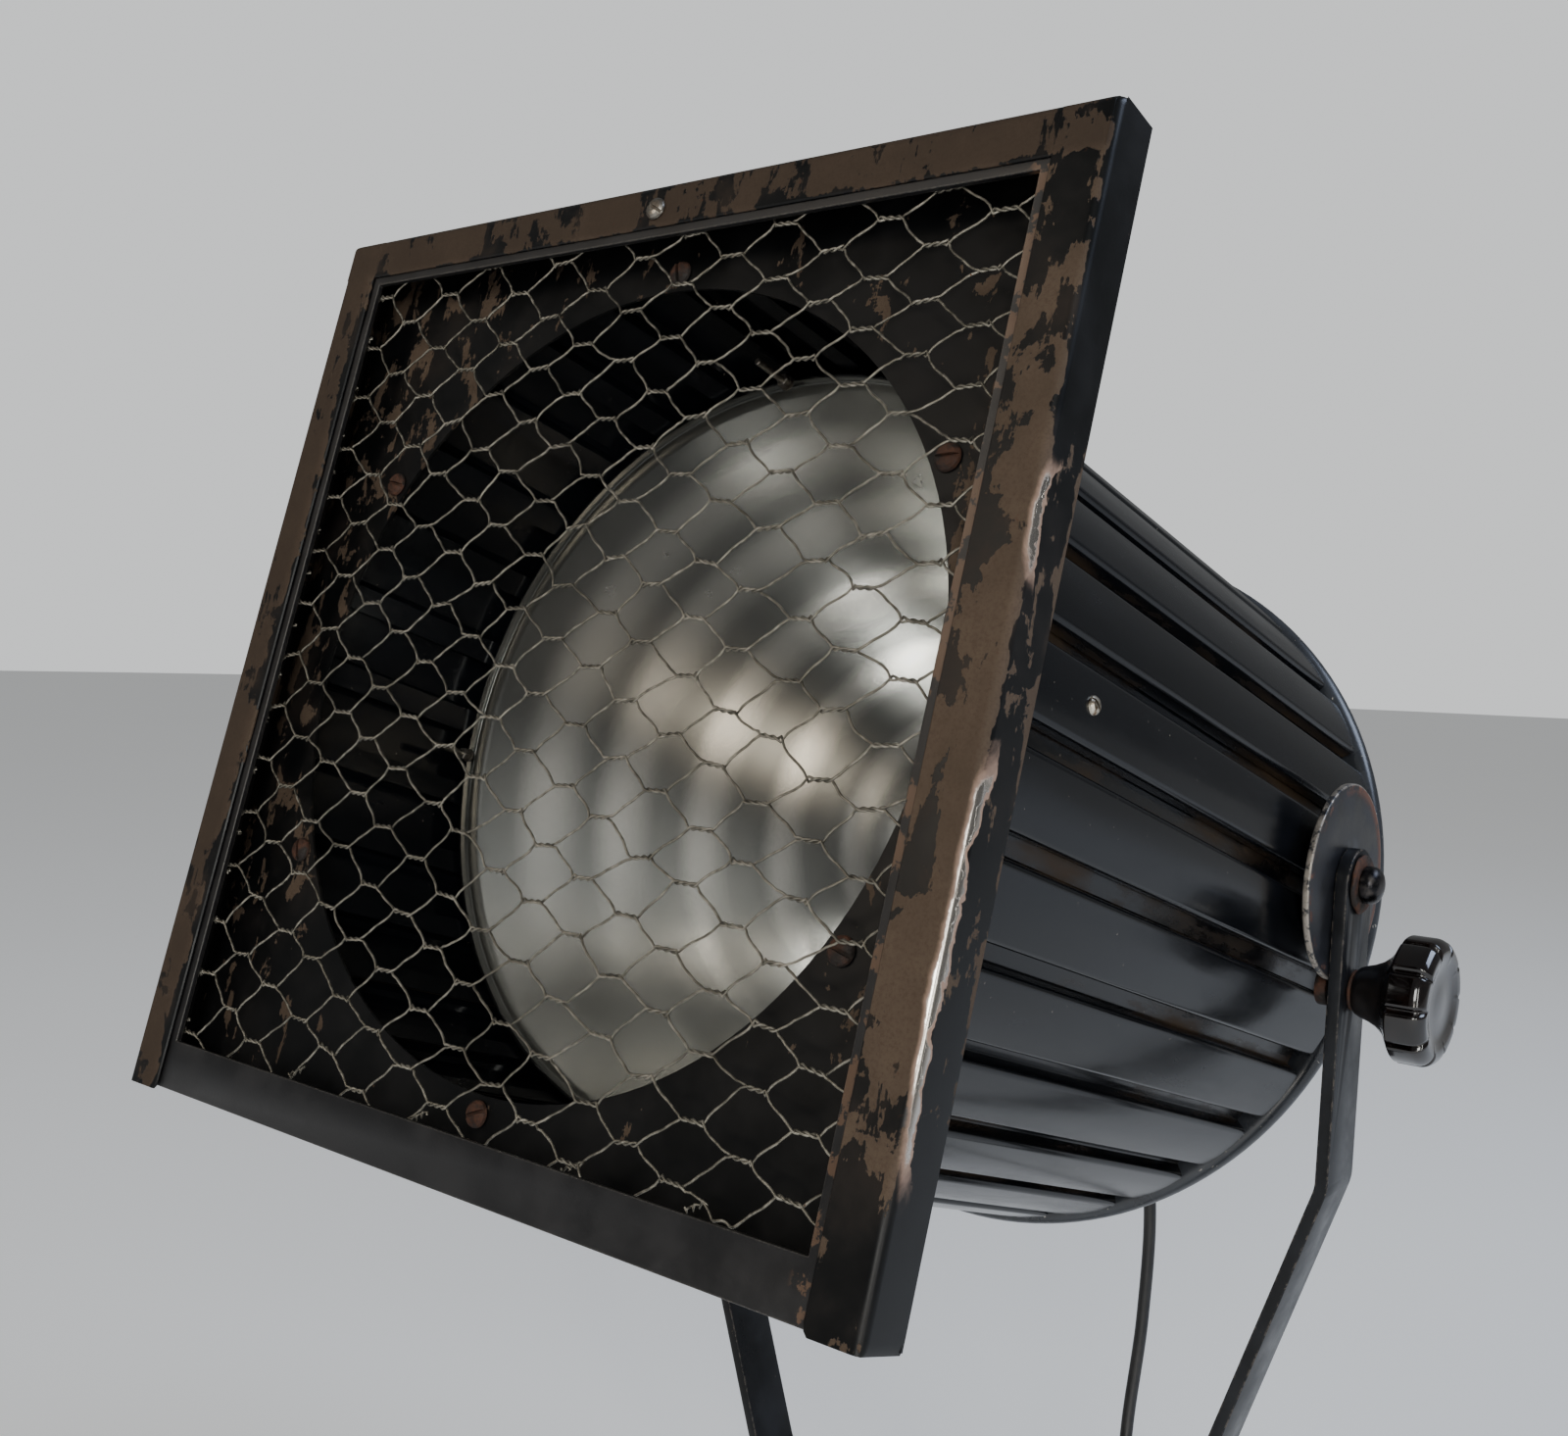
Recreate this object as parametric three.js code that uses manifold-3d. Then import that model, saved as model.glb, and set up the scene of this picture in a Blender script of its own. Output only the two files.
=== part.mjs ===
import * as THREE from 'three';
import Module from 'manifold-3d';
import { mergeVertices } from 'three/addons/utils/BufferGeometryUtils.js';

// A theatre floodlight head on a flat-bar fork with a stand spigot.
// Millimetres, +Z up, the lamp faces -Y, the tilt axis is parallel to X.

// driving sizes
const FRONT = 400;            // side of the square front
const HEAD_TILT = 17.28;      // degrees the head looks up
const FACE_Y = -328.3;        // front face, ahead of the tilt axis
const AXIS_DROP = 5.8;        // optical axis below the tilt axis
const TRAY_DEPTH = 22.8;      // depth of the runners
const SHEET = 1.2;            // plate and lip thickness
const WALL = 1.5;             // runner side wall
const LIP = 22;               // runner lip width
const TOP_LIP = 19;
const OPENING_R = 164.3;      // hole in the front plate
const SCREW_RING_R = OPENING_R + 7.2;
const SCREWS = 6;
const SLATS = 30;
const SLAT_FRONT_R = 183.8;   // crest radius at the front plate
const SLAT_REAR_R = 189.2;    // crest radius at the rear cap
const SLAT_END_Y = 60;
const SLAT_HALF = 14.6;       // half width of one strip
const SLAT_DEEP = 8.4;        // depth of its turned-in edges
const SLAT_FLANGE = 10.2;     // foot under the next strip's edge, which keeps light in
const FLANGE_DEEP = SLAT_DEEP + 3.1;
const CAP_RIM_Y = 70;
const CAP_RIM_R = SLAT_REAR_R + 2.4;
const CAP_BEAD = 6.2;
const BOWL_RIM_Y = -205;
const BOWL_RIM_R = SLAT_FRONT_R - 10.8;
const BOWL_APEX_Y = 28;
const DISC_R = 45.2;          // friction disc
const HUB_IN = SLAT_REAR_R + 0.4;  // flat backs of the friction disc and the left boss
const BAR_T = 6;              // fork bar
const ARM_OUT = HUB_IN + 8.4 + BAR_T;  // outer face of the arms at the tilt axis
const BAR_W = 32;
const ARM_BEND = 140.2;       // bend below the tilt axis
const ARM_LEAN = 0.3215;      // inward lean below the bend
const FORK_DROP = 395;        // tilt axis to the crossbar's underside
const STUD_R = 2.9;
const CLAMP_DROP = DISC_R + STUD_R + 0.85;  // clamp stud below the tilt axis
const KNOB_R = 28.8;
const KNOB_LOBES = 10;
const HOLDER_R = 19;
const SPIGOT_R = 14.3;
const SPIGOT_LEN = 96;
const COLLAR_R = 26;
const COLLAR_H = 10;
const PAN_BOLT_R = 6;
const PIVOT_R = 6;
const CORD_R = 3.5;
const COIL_R = 40;
const COIL_TURNS = 4;

// named clearances
const GAP = 0.3;              // between pieces that rest on each other
const BORE_GAP = 0.3;         // shaft in a bore, radial
const SLIDE_GAP = 0.8;        // guard frame in its runners, each side

const PIVOT_Z = SPIGOT_LEN + COLLAR_H + GAP + FORK_DROP;
const TILT = THREE.MathUtils.degToRad(HEAD_TILT);
const HALF = FRONT / 2;
const PLATE_Y = FACE_Y + TRAY_DEPTH;
const TOP_Z = HALF - AXIS_DROP;
const BOTTOM_Z = -HALF - AXIS_DROP;
const ARM_IN = ARM_OUT - BAR_T;

const wasm = await Module();
wasm.setup();
const root = new THREE.Group();

const paint = (name, color, roughness, metalness) =>
  new THREE.MeshStandardMaterial({ name, color, roughness, metalness });
const BLACK = paint('black_paint', 0x17181b, 0.5, 0.3);
const GUARD = paint('guard_paint', 0x141416, 0.6, 0.2);
const GALV = paint('galvanised_wire', 0x9a978c, 0.45, 0.9);
const ALU = paint('spun_aluminium', 0xb9b8b2, 0.3, 1.0);
const GREY = paint('grey_enamel', 0x6f7478, 0.3, 0.4);
const RUST = paint('rusty_steel', 0x7a4a30, 0.8, 0.5);
const STEEL = paint('dull_steel', 0x8b8a86, 0.4, 0.9);
const BAKELITE = paint('bakelite', 0x1a0f0e, 0.15, 0.0);
const CERAMIC = paint('lampholder_ceramic', 0xe8e2d4, 0.4, 0.0);
const GLASS = paint('lamp_glass', 0xdfe6e8, 0.05, 0.0);
const RUBBER = paint('black_rubber', 0x16161a, 0.7, 0.0);

function add(name, geometry, material, onHead = false) {
  const g = geometry;
  if (onHead) g.rotateX(-TILT);
  g.translate(0, 0, PIVOT_Z);
  const mesh = new THREE.Mesh(g, material);
  mesh.name = name;
  root.add(mesh);
}

// turns a lathe or cylinder, made along Y, to lie along another axis
const alongX = (g) => g.rotateZ(-Math.PI / 2);
const alongZ = (g) => g.rotateX(Math.PI / 2);

function box(x0, x1, y0, y1, z0, z1) {
  const g = new THREE.BoxGeometry(x1 - x0, y1 - y0, z1 - z0);
  return g.translate((x0 + x1) / 2, (y0 + y1) / 2, (z0 + z1) / 2);
}

function cylinder(r, y0, y1, n = 20) {
  const g = new THREE.CylinderGeometry(r, r, y1 - y0, n);
  return g.translate(0, (y0 + y1) / 2, 0);
}

// a turned piece, profile in [radius, height] going up the outside
function turned(profile, n = 24) {
  const points = profile.map(([r, h]) => new THREE.Vector2(r, h));
  return new THREE.LatheGeometry(points, n);
}

function solid(g) {
  const bare = new THREE.BufferGeometry();
  bare.setAttribute('position', g.getAttribute('position'));
  if (g.index) bare.setIndex(g.index);
  const m = mergeVertices(bare, 1e-4);
  return new wasm.Manifold(new wasm.Mesh({
    numProp: 3,
    vertProperties: new Float32Array(m.attributes.position.array),
    triVerts: new Uint32Array(m.index.array),
  }));
}

function geometryOf(manifold) {
  const m = manifold.getMesh();
  const g = new THREE.BufferGeometry();
  g.setAttribute('position', new THREE.BufferAttribute(new Float32Array(m.vertProperties), 3));
  g.setIndex(new THREE.BufferAttribute(new Uint32Array(m.triVerts), 1));
  g.computeVertexNormals();
  return g;
}

function arc(cx, cy, r, a0, a1, n) {
  const out = [];
  for (let i = 0; i <= n; i += 1) {
    const a = THREE.MathUtils.degToRad(a0 + (a1 - a0) * i / n);
    out.push([cx + r * Math.cos(a), cy + r * Math.sin(a)]);
  }
  return out;
}

// ---- stand spigot: collar and turned shank, with a groove for the stand's screw
const SPIGOT_TOP = -FORK_DROP - GAP;
const SHANK_TOP = SPIGOT_TOP - COLLAR_H;
const SPIGOT_END = SHANK_TOP - SPIGOT_LEN;
const BLIND = SHANK_TOP - 26;
add('stand_spigot', alongZ(turned([
  [0, SPIGOT_END],
  [SPIGOT_R - 2, SPIGOT_END],
  [SPIGOT_R, SPIGOT_END + 2],
  [SPIGOT_R, SPIGOT_END + 34],
  [SPIGOT_R - 2.5, SPIGOT_END + 38],
  [SPIGOT_R - 2.5, SPIGOT_END + 58],
  [SPIGOT_R, SPIGOT_END + 62],
  [SPIGOT_R, SHANK_TOP],
  [COLLAR_R - 1, SHANK_TOP],
  [COLLAR_R, SHANK_TOP + 1],
  [COLLAR_R, SPIGOT_TOP - 1],
  [COLLAR_R - 1, SPIGOT_TOP],
  [PAN_BOLT_R + BORE_GAP, SPIGOT_TOP],
  [PAN_BOLT_R + BORE_GAP, BLIND],
  [0, BLIND],
])), STEEL);

// ---- pan bolt: stud standing in the spigot's blind hole
const BAR_TOP = -FORK_DROP + BAR_T;
const STUD_TOP = BAR_TOP + 30;
add('pan_bolt', alongZ(turned([
  [0, BLIND + GAP],
  [PAN_BOLT_R, BLIND + GAP],
  [PAN_BOLT_R, STUD_TOP - 1.5],
  [PAN_BOLT_R - 1.5, STUD_TOP],
  [0, STUD_TOP],
], 24)), STEEL);

// ---- wing nut: hub and two wings above the crossbar
const HUB_Z = BAR_TOP + GAP;
const wingShape = new THREE.Shape();
wingShape.moveTo(8, HUB_Z + 3);
wingShape.lineTo(24, HUB_Z + 8);
wingShape.absarc(27, HUB_Z + 15, 7, -Math.PI / 2 + 0.4, Math.PI / 2, false);
wingShape.lineTo(20, HUB_Z + 20);
wingShape.lineTo(8, HUB_Z + 13);
wingShape.closePath();
const wing = new THREE.ExtrudeGeometry(wingShape, { depth: 5, bevelEnabled: false, curveSegments: 5 });
wing.rotateX(Math.PI / 2);
wing.translate(0, 2.5, 0);
const wingOther = wing.clone().rotateZ(Math.PI);
const hub = alongZ(turned([
  [PAN_BOLT_R + BORE_GAP, HUB_Z],
  [13, HUB_Z],
  [11, HUB_Z + 14],
  [PAN_BOLT_R + BORE_GAP, HUB_Z + 14],
  [PAN_BOLT_R + BORE_GAP, HUB_Z],
], 24));
add('wing_nut', geometryOf(solid(hub).add(solid(wing)).add(solid(wingOther))), STEEL);

// ---- fork: one flat bar, bent below each pivot and at the crossbar corners
function fillet(points, radii, n) {
  const out = [points[0]];
  for (let i = 1; i < points.length - 1; i += 1) {
    const p = points[i];
    const u = p.clone().sub(points[i - 1]).normalize();
    const v = points[i + 1].clone().sub(p).normalize();
    const turn = Math.acos(u.dot(v));
    const back = radii[i - 1] * Math.tan(turn / 2);
    const side = Math.sign(u.x * v.y - u.y * v.x);
    const start = p.clone().addScaledVector(u, -back);
    const centre = start.clone().add(new THREE.Vector2(-u.y, u.x).multiplyScalar(side * radii[i - 1]));
    for (let k = 0; k <= n; k += 1) {
      out.push(start.clone().rotateAround(centre, side * turn * k / n));
    }
  }
  out.push(points[points.length - 1]);
  return out;
}
const MID_X = ARM_OUT - BAR_T / 2;
const MID_Z = -FORK_DROP + BAR_T / 2;
const FOOT_X = MID_X - ARM_LEAN * (-MID_Z - ARM_BEND);
const forkLine = fillet([
  new THREE.Vector2(MID_X, BAR_W / 2),
  new THREE.Vector2(MID_X, -ARM_BEND),
  new THREE.Vector2(FOOT_X, MID_Z),
  new THREE.Vector2(-FOOT_X, MID_Z),
  new THREE.Vector2(-MID_X, -ARM_BEND),
  new THREE.Vector2(-MID_X, BAR_W / 2),
], [22, 14, 14, 22], 6);
function offsetLine(line, d) {
  return line.map((p, i) => {
    const a = line[Math.max(i - 1, 0)];
    const b = line[Math.min(i + 1, line.length - 1)];
    const t = b.clone().sub(a).normalize();
    const n = new THREE.Vector2(-t.y, t.x);
    const t1 = p.clone().sub(a).lengthSq() > 0 ? p.clone().sub(a).normalize() : t;
    const n1 = new THREE.Vector2(-t1.y, t1.x);
    return p.clone().addScaledVector(n, d / Math.max(n.dot(n1), 0.5));
  });
}
const forkOutline = [...offsetLine(forkLine, BAR_T / 2), ...offsetLine(forkLine, -BAR_T / 2).reverse()];
const forkGeometry = new THREE.ExtrudeGeometry(new THREE.Shape(forkOutline), { depth: BAR_W, bevelEnabled: false });
forkGeometry.rotateX(Math.PI / 2);
forkGeometry.translate(0, BAR_W / 2, 0);
const armEnds = solid(box(-300, 300, -BAR_W, BAR_W, -FORK_DROP - 50, 0))
  .add(solid(alongX(cylinder(BAR_W / 2, -300, 300, 28))));
const forkHoles = solid(alongX(cylinder(PIVOT_R + BORE_GAP, -300, 300)))
  .add(solid(alongX(cylinder(STUD_R + BORE_GAP, 150, 300)).translate(0, 0, -CLAMP_DROP)))
  .add(solid(alongZ(cylinder(PAN_BOLT_R + BORE_GAP, -FORK_DROP - 20, -FORK_DROP + 20))));
add('yoke_fork', geometryOf(solid(forkGeometry).intersect(armEnds).subtract(forkHoles)), BLACK);

// ---- right clamp: stud with a head behind the friction disc, washer, lobed knob
const DISC_OUT = ARM_IN - GAP;
const DISC_IN = DISC_OUT - 3;
const KNOB_IN = ARM_OUT + GAP + 1.8 + GAP;
const KNOB_LOBE = KNOB_IN + 19;
const KNOB_OUT = KNOB_LOBE + 18.4;
add('clamp_stud', alongX(turned([
  [0, DISC_IN - GAP - 5.2],
  [9, DISC_IN - GAP - 5.2],
  [9, DISC_IN - GAP],
  [STUD_R, DISC_IN - GAP],
  [STUD_R, KNOB_IN + 16],
  [0, KNOB_IN + 16],
], 24)).translate(0, 0, -CLAMP_DROP), RUST);
add('clamp_washer', alongX(turned([
  [STUD_R + BORE_GAP, ARM_OUT + GAP],
  [9.5, ARM_OUT + GAP],
  [9.5, ARM_OUT + GAP + 1.8],
  [STUD_R + BORE_GAP, ARM_OUT + GAP + 1.8],
  [STUD_R + BORE_GAP, ARM_OUT + GAP],
], 28)).translate(0, 0, -CLAMP_DROP), RUST);
const lobeShape = new THREE.Shape();
const LOBE_POINTS = KNOB_LOBES * 4;
for (let i = 0; i < LOBE_POINTS; i += 1) {
  const a = 2 * Math.PI * i / LOBE_POINTS;
  const inGroove = i % 4 === 0;
  const r = inGroove ? KNOB_R - 2.6 : KNOB_R;
  const x = r * Math.cos(a);
  const y = r * Math.sin(a);
  if (i === 0) lobeShape.moveTo(x, y);
  else lobeShape.lineTo(x, y);
}
lobeShape.closePath();
const lobes = new THREE.ExtrudeGeometry(lobeShape, { depth: KNOB_OUT - KNOB_LOBE - 2, bevelEnabled: false });
lobes.rotateY(Math.PI / 2);
lobes.translate(KNOB_LOBE, 0, 0);
const knobTurned = alongX(turned([
  [0, KNOB_IN],
  [11, KNOB_IN],
  [13.5, KNOB_IN + 4],
  [15, KNOB_IN + 12],
  [19, KNOB_IN + 17],
  [KNOB_R - 5, KNOB_LOBE],
  [KNOB_R - 1.5, KNOB_LOBE + 3],
  [KNOB_R - 1.5, KNOB_OUT - 5],
  [KNOB_R - 3, KNOB_OUT - 1.5],
  [KNOB_R - 6, KNOB_OUT],
  [KNOB_R - 10, KNOB_OUT - 0.6],
  [0, KNOB_OUT - 3],
], 28));
const knobBore = alongX(cylinder(STUD_R + BORE_GAP, KNOB_IN - 5, KNOB_IN + 17));
const knob = solid(lobes).add(solid(knobTurned)).subtract(solid(knobBore));
add('clamp_knob', geometryOf(knob).translate(0, 0, -CLAMP_DROP), BAKELITE);

// ---- friction disc on the lantern's right side, with its pivot bolt and washer
add('friction_disc', alongX(turned([
  [PIVOT_R + BORE_GAP, HUB_IN],
  [26, HUB_IN],
  [26, DISC_IN],
  [DISC_R - 1, DISC_IN],
  [DISC_R, DISC_IN + 1],
  [DISC_R, DISC_OUT - 1],
  [DISC_R - 1, DISC_OUT],
  [PIVOT_R + BORE_GAP, DISC_OUT],
  [PIVOT_R + BORE_GAP, HUB_IN],
], 40)), BLACK, true);
const WASHER_OUT = ARM_OUT + GAP + 1.8;
add('pivot_washer', alongX(turned([
  [PIVOT_R + BORE_GAP, ARM_OUT + GAP],
  [13.5, ARM_OUT + GAP],
  [13.5, WASHER_OUT],
  [PIVOT_R + BORE_GAP, WASHER_OUT],
  [PIVOT_R + BORE_GAP, ARM_OUT + GAP],
], 24)), RUST, true);
add('pivot_bolt', alongX(turned([
  [0, HUB_IN + 0.6],
  [PIVOT_R, HUB_IN + 0.6],
  [PIVOT_R, WASHER_OUT + GAP],
  [8.6, WASHER_OUT + GAP],
  [8.6, WASHER_OUT + 4],
  [7.2, WASHER_OUT + 6.4],
  [4, WASHER_OUT + 7.8],
  [0, WASHER_OUT + 8.2],
], 22)), STEEL, true);
// the hidden side has one riveted stud with its boss
add('pivot_boss_left', alongX(turned([
  [0, -(ARM_OUT + 7)],
  [6, -(ARM_OUT + 6.4)],
  [9, -(ARM_OUT + 3.5)],
  [9, -(ARM_OUT + GAP)],
  [PIVOT_R, -(ARM_OUT + GAP)],
  [PIVOT_R, -(ARM_IN - GAP)],
  [26, -(ARM_IN - GAP)],
  [26, -HUB_IN],
  [0, -HUB_IN],
], 22)), BLACK, true);

// ---- front tray: plate with the round opening, and the runners folded round three sides
const ring = [];
for (let i = 0; i < SCREWS; i += 1) {
  const a = Math.PI / 2 + 2 * Math.PI * i / SCREWS;
  ring.push([SCREW_RING_R * Math.cos(a), SCREW_RING_R * Math.sin(a) - AXIS_DROP]);
}
const PINCH_Z = TOP_Z - 11.7;
const SHANK_R = 2;
let tray = solid(box(-HALF, HALF, PLATE_Y - SHEET, PLATE_Y, BOTTOM_Z, TOP_Z));
tray = tray.subtract(solid(cylinder(OPENING_R, PLATE_Y - 5, PLATE_Y + 5, 64).translate(0, 0, -AXIS_DROP)));
for (const [x, z] of ring) {
  tray = tray.subtract(solid(cylinder(SHANK_R + BORE_GAP, PLATE_Y - 5, PLATE_Y + 5, 10).translate(x, 0, z)));
}
tray = tray.add(solid(box(-HALF, HALF, FACE_Y, PLATE_Y, TOP_Z - WALL, TOP_Z)));
tray = tray.add(solid(box(-HALF, -HALF + WALL, FACE_Y, PLATE_Y, BOTTOM_Z - 1, TOP_Z)));
tray = tray.add(solid(box(HALF - WALL, HALF, FACE_Y, PLATE_Y, BOTTOM_Z - 1, TOP_Z)));
tray = tray.add(solid(box(-HALF, HALF, FACE_Y, FACE_Y + SHEET, TOP_Z - TOP_LIP, TOP_Z)));
tray = tray.add(solid(box(-HALF, -HALF + LIP, FACE_Y, FACE_Y + SHEET, BOTTOM_Z - 1, TOP_Z)));
tray = tray.add(solid(box(HALF - LIP, HALF, FACE_Y, FACE_Y + SHEET, BOTTOM_Z - 1, TOP_Z)));
tray = tray.subtract(solid(cylinder(2 + BORE_GAP, FACE_Y - 5, FACE_Y + 5, 10).translate(0, 0, PINCH_Z)));
add('front_tray', geometryOf(tray), BLACK, true);

function slotScrew(headR, headH, shankR, shankLen) {
  const body = turned([
    [0, -headH],
    [headR * 0.55, -headH * 0.92],
    [headR * 0.9, -headH * 0.5],
    [headR, 0],
    [shankR, 0],
    [shankR, shankLen],
    [0, shankLen],
  ], 12);
  const slot = box(-headR * 1.2, headR * 1.2, -headH * 1.5, -headH * 0.45, -0.7, 0.7);
  return geometryOf(solid(body).subtract(solid(slot)));
}
ring.forEach(([x, z], i) => {
  const g = slotScrew(5.4, 2.8, SHANK_R, 9);
  g.rotateY(0.7 + i * 1.3);
  g.translate(x, PLATE_Y - SHEET - GAP, z);
  add(`plate_screw_${i + 1}`, g, RUST, true);
});
const pinch = slotScrew(4.6, 2.4, 2, SHEET + GAP);
pinch.rotateY(0.5);
pinch.translate(0, FACE_Y - GAP, PINCH_Z);
add('pinch_screw', pinch, STEEL, true);

// ---- barrel: long strips, each a shallow curve with both edges turned in,
// and a foot on one edge that runs under the next strip
const slatShape = new THREE.Shape();
const slatOuter = [
  [-SLAT_HALF, -SLAT_DEEP],
  [-SLAT_HALF, -4.4],
  [-SLAT_HALF + 2.4, -1.7],
  [-5, -0.3],
  [5, -0.3],
  [SLAT_HALF - 2.4, -1.7],
  [SLAT_HALF, -4.4],
  [SLAT_HALF, -SLAT_DEEP - 0.6],
  [SLAT_HALF + SLAT_FLANGE, -SLAT_DEEP - 2.1],
];
const slatInner = [
  [SLAT_HALF + SLAT_FLANGE, -FLANGE_DEEP],
  [SLAT_HALF - 1.1, -SLAT_DEEP - 1.5],
  [SLAT_HALF - 1.1, -4.8],
  [SLAT_HALF - 3, -2.8],
  [-SLAT_HALF + 3, -2.8],
  [-SLAT_HALF + 1.1, -4.8],
  [-SLAT_HALF + 1.1, -SLAT_DEEP],
];
[...slatOuter, ...slatInner].forEach(([u, w], i) => {
  if (i === 0) slatShape.moveTo(u, w);
  else slatShape.lineTo(u, w);
});
slatShape.closePath();
const SLAT_START_Y = PLATE_Y + GAP;
for (let i = 0; i < SLATS; i += 1) {
  const length = SLAT_END_Y - SLAT_START_Y;
  const g = new THREE.ExtrudeGeometry(slatShape, { depth: length, bevelEnabled: false });
  const p = g.getAttribute('position');
  const a = 2 * Math.PI * (i + 0.5) / SLATS;
  for (let k = 0; k < p.count; k += 1) {
    const share = p.getZ(k) / length;
    const crest = SLAT_FRONT_R + (SLAT_REAR_R - SLAT_FRONT_R) * share;
    const u = p.getX(k);
    const w = p.getY(k) + crest;
    const x = w * Math.cos(a) - u * Math.sin(a);
    const z = w * Math.sin(a) + u * Math.cos(a) - AXIS_DROP;
    p.setXYZ(k, x, SLAT_START_Y + p.getZ(k), z);
  }
  g.computeVertexNormals();
  add(`slat_${String(i + 1).padStart(2, '0')}`, g, BLACK, true);
}

// ---- rear cap: rolled rim outside the strips' ends, skirt inside them, shallow dish
const BEAD_R = CAP_RIM_R - CAP_BEAD;
const SKIRT_Y = SLAT_END_Y - 14;
const crestAt = (y) => SLAT_FRONT_R
  + (SLAT_REAR_R - SLAT_FRONT_R) * (y - SLAT_START_Y) / (SLAT_END_Y - SLAT_START_Y);
const SKIRT_R = crestAt(SKIRT_Y) - FLANGE_DEEP - 0.6;
const CAP_BORE = HOLDER_R + 5;
const capProfile = [
  [SKIRT_R, SKIRT_Y],
  [SKIRT_R, CAP_RIM_Y - CAP_BEAD + 0.6],
  ...arc(BEAD_R, CAP_RIM_Y, CAP_BEAD, -100, 90, 6),
  [SKIRT_R - 12.4, CAP_RIM_Y + CAP_BEAD + 3],
  [SKIRT_R - 30.4, CAP_RIM_Y + 20],
  [110, CAP_RIM_Y + 27],
  [80, CAP_RIM_Y + 29.2],
  [CAP_BORE, CAP_RIM_Y + 29.2],
  [CAP_BORE, CAP_RIM_Y + 28],
  [80, CAP_RIM_Y + 28],
  [110, CAP_RIM_Y + 25.6],
  [SKIRT_R - 31.4, CAP_RIM_Y + 18.6],
  [SKIRT_R - 13.4, CAP_RIM_Y + CAP_BEAD + 1.4],
  [SKIRT_R - 1.8, CAP_RIM_Y + 3],
  [SKIRT_R - 1.8, SKIRT_Y],
  [SKIRT_R, SKIRT_Y],
];
add('rear_cap', turned(capProfile, 40).translate(0, 0, -AXIS_DROP), GREY, true);

// ---- lamp box behind the cap, with the cord's nozzle under it
const BOX_Y = CAP_RIM_Y + 29.2 + GAP;
const BOX_DEPTH = 62;
const BOX_DOWN = 50;
const NOZZLE_X = 40;
const NOZZLE_Y = BOX_Y + 32;
const NOZZLE_END = -AXIS_DROP - BOX_DOWN - 16;
const boxShape = new THREE.Shape();
const corner = 6;
boxShape.moveTo(-56 + corner, -BOX_DOWN);
boxShape.lineTo(56 - corner, -BOX_DOWN);
boxShape.absarc(56 - corner, -BOX_DOWN + corner, corner, -Math.PI / 2, 0, false);
boxShape.lineTo(56, BOX_DOWN - corner);
boxShape.absarc(56 - corner, BOX_DOWN - corner, corner, 0, Math.PI / 2, false);
boxShape.lineTo(-56 + corner, BOX_DOWN);
boxShape.absarc(-56 + corner, BOX_DOWN - corner, corner, Math.PI / 2, Math.PI, false);
boxShape.lineTo(-56, -BOX_DOWN + corner);
boxShape.absarc(-56 + corner, -BOX_DOWN + corner, corner, Math.PI, 1.5 * Math.PI, false);
const boxBody = new THREE.ExtrudeGeometry(boxShape, { depth: BOX_DEPTH, bevelEnabled: false, curveSegments: 4 });
boxBody.rotateX(Math.PI / 2);
boxBody.translate(0, BOX_Y + BOX_DEPTH, -AXIS_DROP);
const nozzle = alongZ(cylinder(8.5, NOZZLE_END, NOZZLE_END + 20, 20)).translate(NOZZLE_X, NOZZLE_Y, 0);
const nozzleBore = alongZ(cylinder(CORD_R + 0.5, NOZZLE_END - 2, NOZZLE_END + 14, 16));
nozzleBore.translate(NOZZLE_X, NOZZLE_Y, 0);
const BOX_WALL = 1.5;
const boxHollow = box(-56 + BOX_WALL, 56 - BOX_WALL, BOX_Y - 5, BOX_Y + BOX_DEPTH - BOX_WALL,
  -AXIS_DROP - BOX_DOWN + BOX_WALL, -AXIS_DROP + BOX_DOWN - BOX_WALL);
const lampBox = solid(boxBody).subtract(solid(boxHollow)).add(solid(nozzle)).subtract(solid(nozzleBore));
add('lamp_box', geometryOf(lampBox), BLACK, true);

// ---- reflector: deep spun bowl with a rolled front rim, open round the lampholder
const HOLE_R = HOLDER_R + 3;
const bowlOut = [];
const bowlIn = [];
const BOWL_STEPS = 8;
for (let i = 0; i <= BOWL_STEPS; i += 1) {
  const s = i / BOWL_STEPS;
  const r = HOLE_R + (BOWL_RIM_R - 1.4 - HOLE_R) * Math.sqrt(s);
  const y = BOWL_APEX_Y + (BOWL_RIM_Y - BOWL_APEX_Y) * (r / BOWL_RIM_R) ** 2;
  bowlIn.push([r, y]);
  bowlOut.push([r, y + 1.2 + 1.2 * s]);
}
const bowlRim = arc(BOWL_RIM_R - 0.6, BOWL_RIM_Y - 1, 2.2, 150, -100, 4);
const bowlProfile = [...bowlIn, ...bowlRim, ...bowlOut.reverse(), bowlIn[0]];
add('reflector', turned(bowlProfile, 32).translate(0, 0, -AXIS_DROP), ALU, true);

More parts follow.
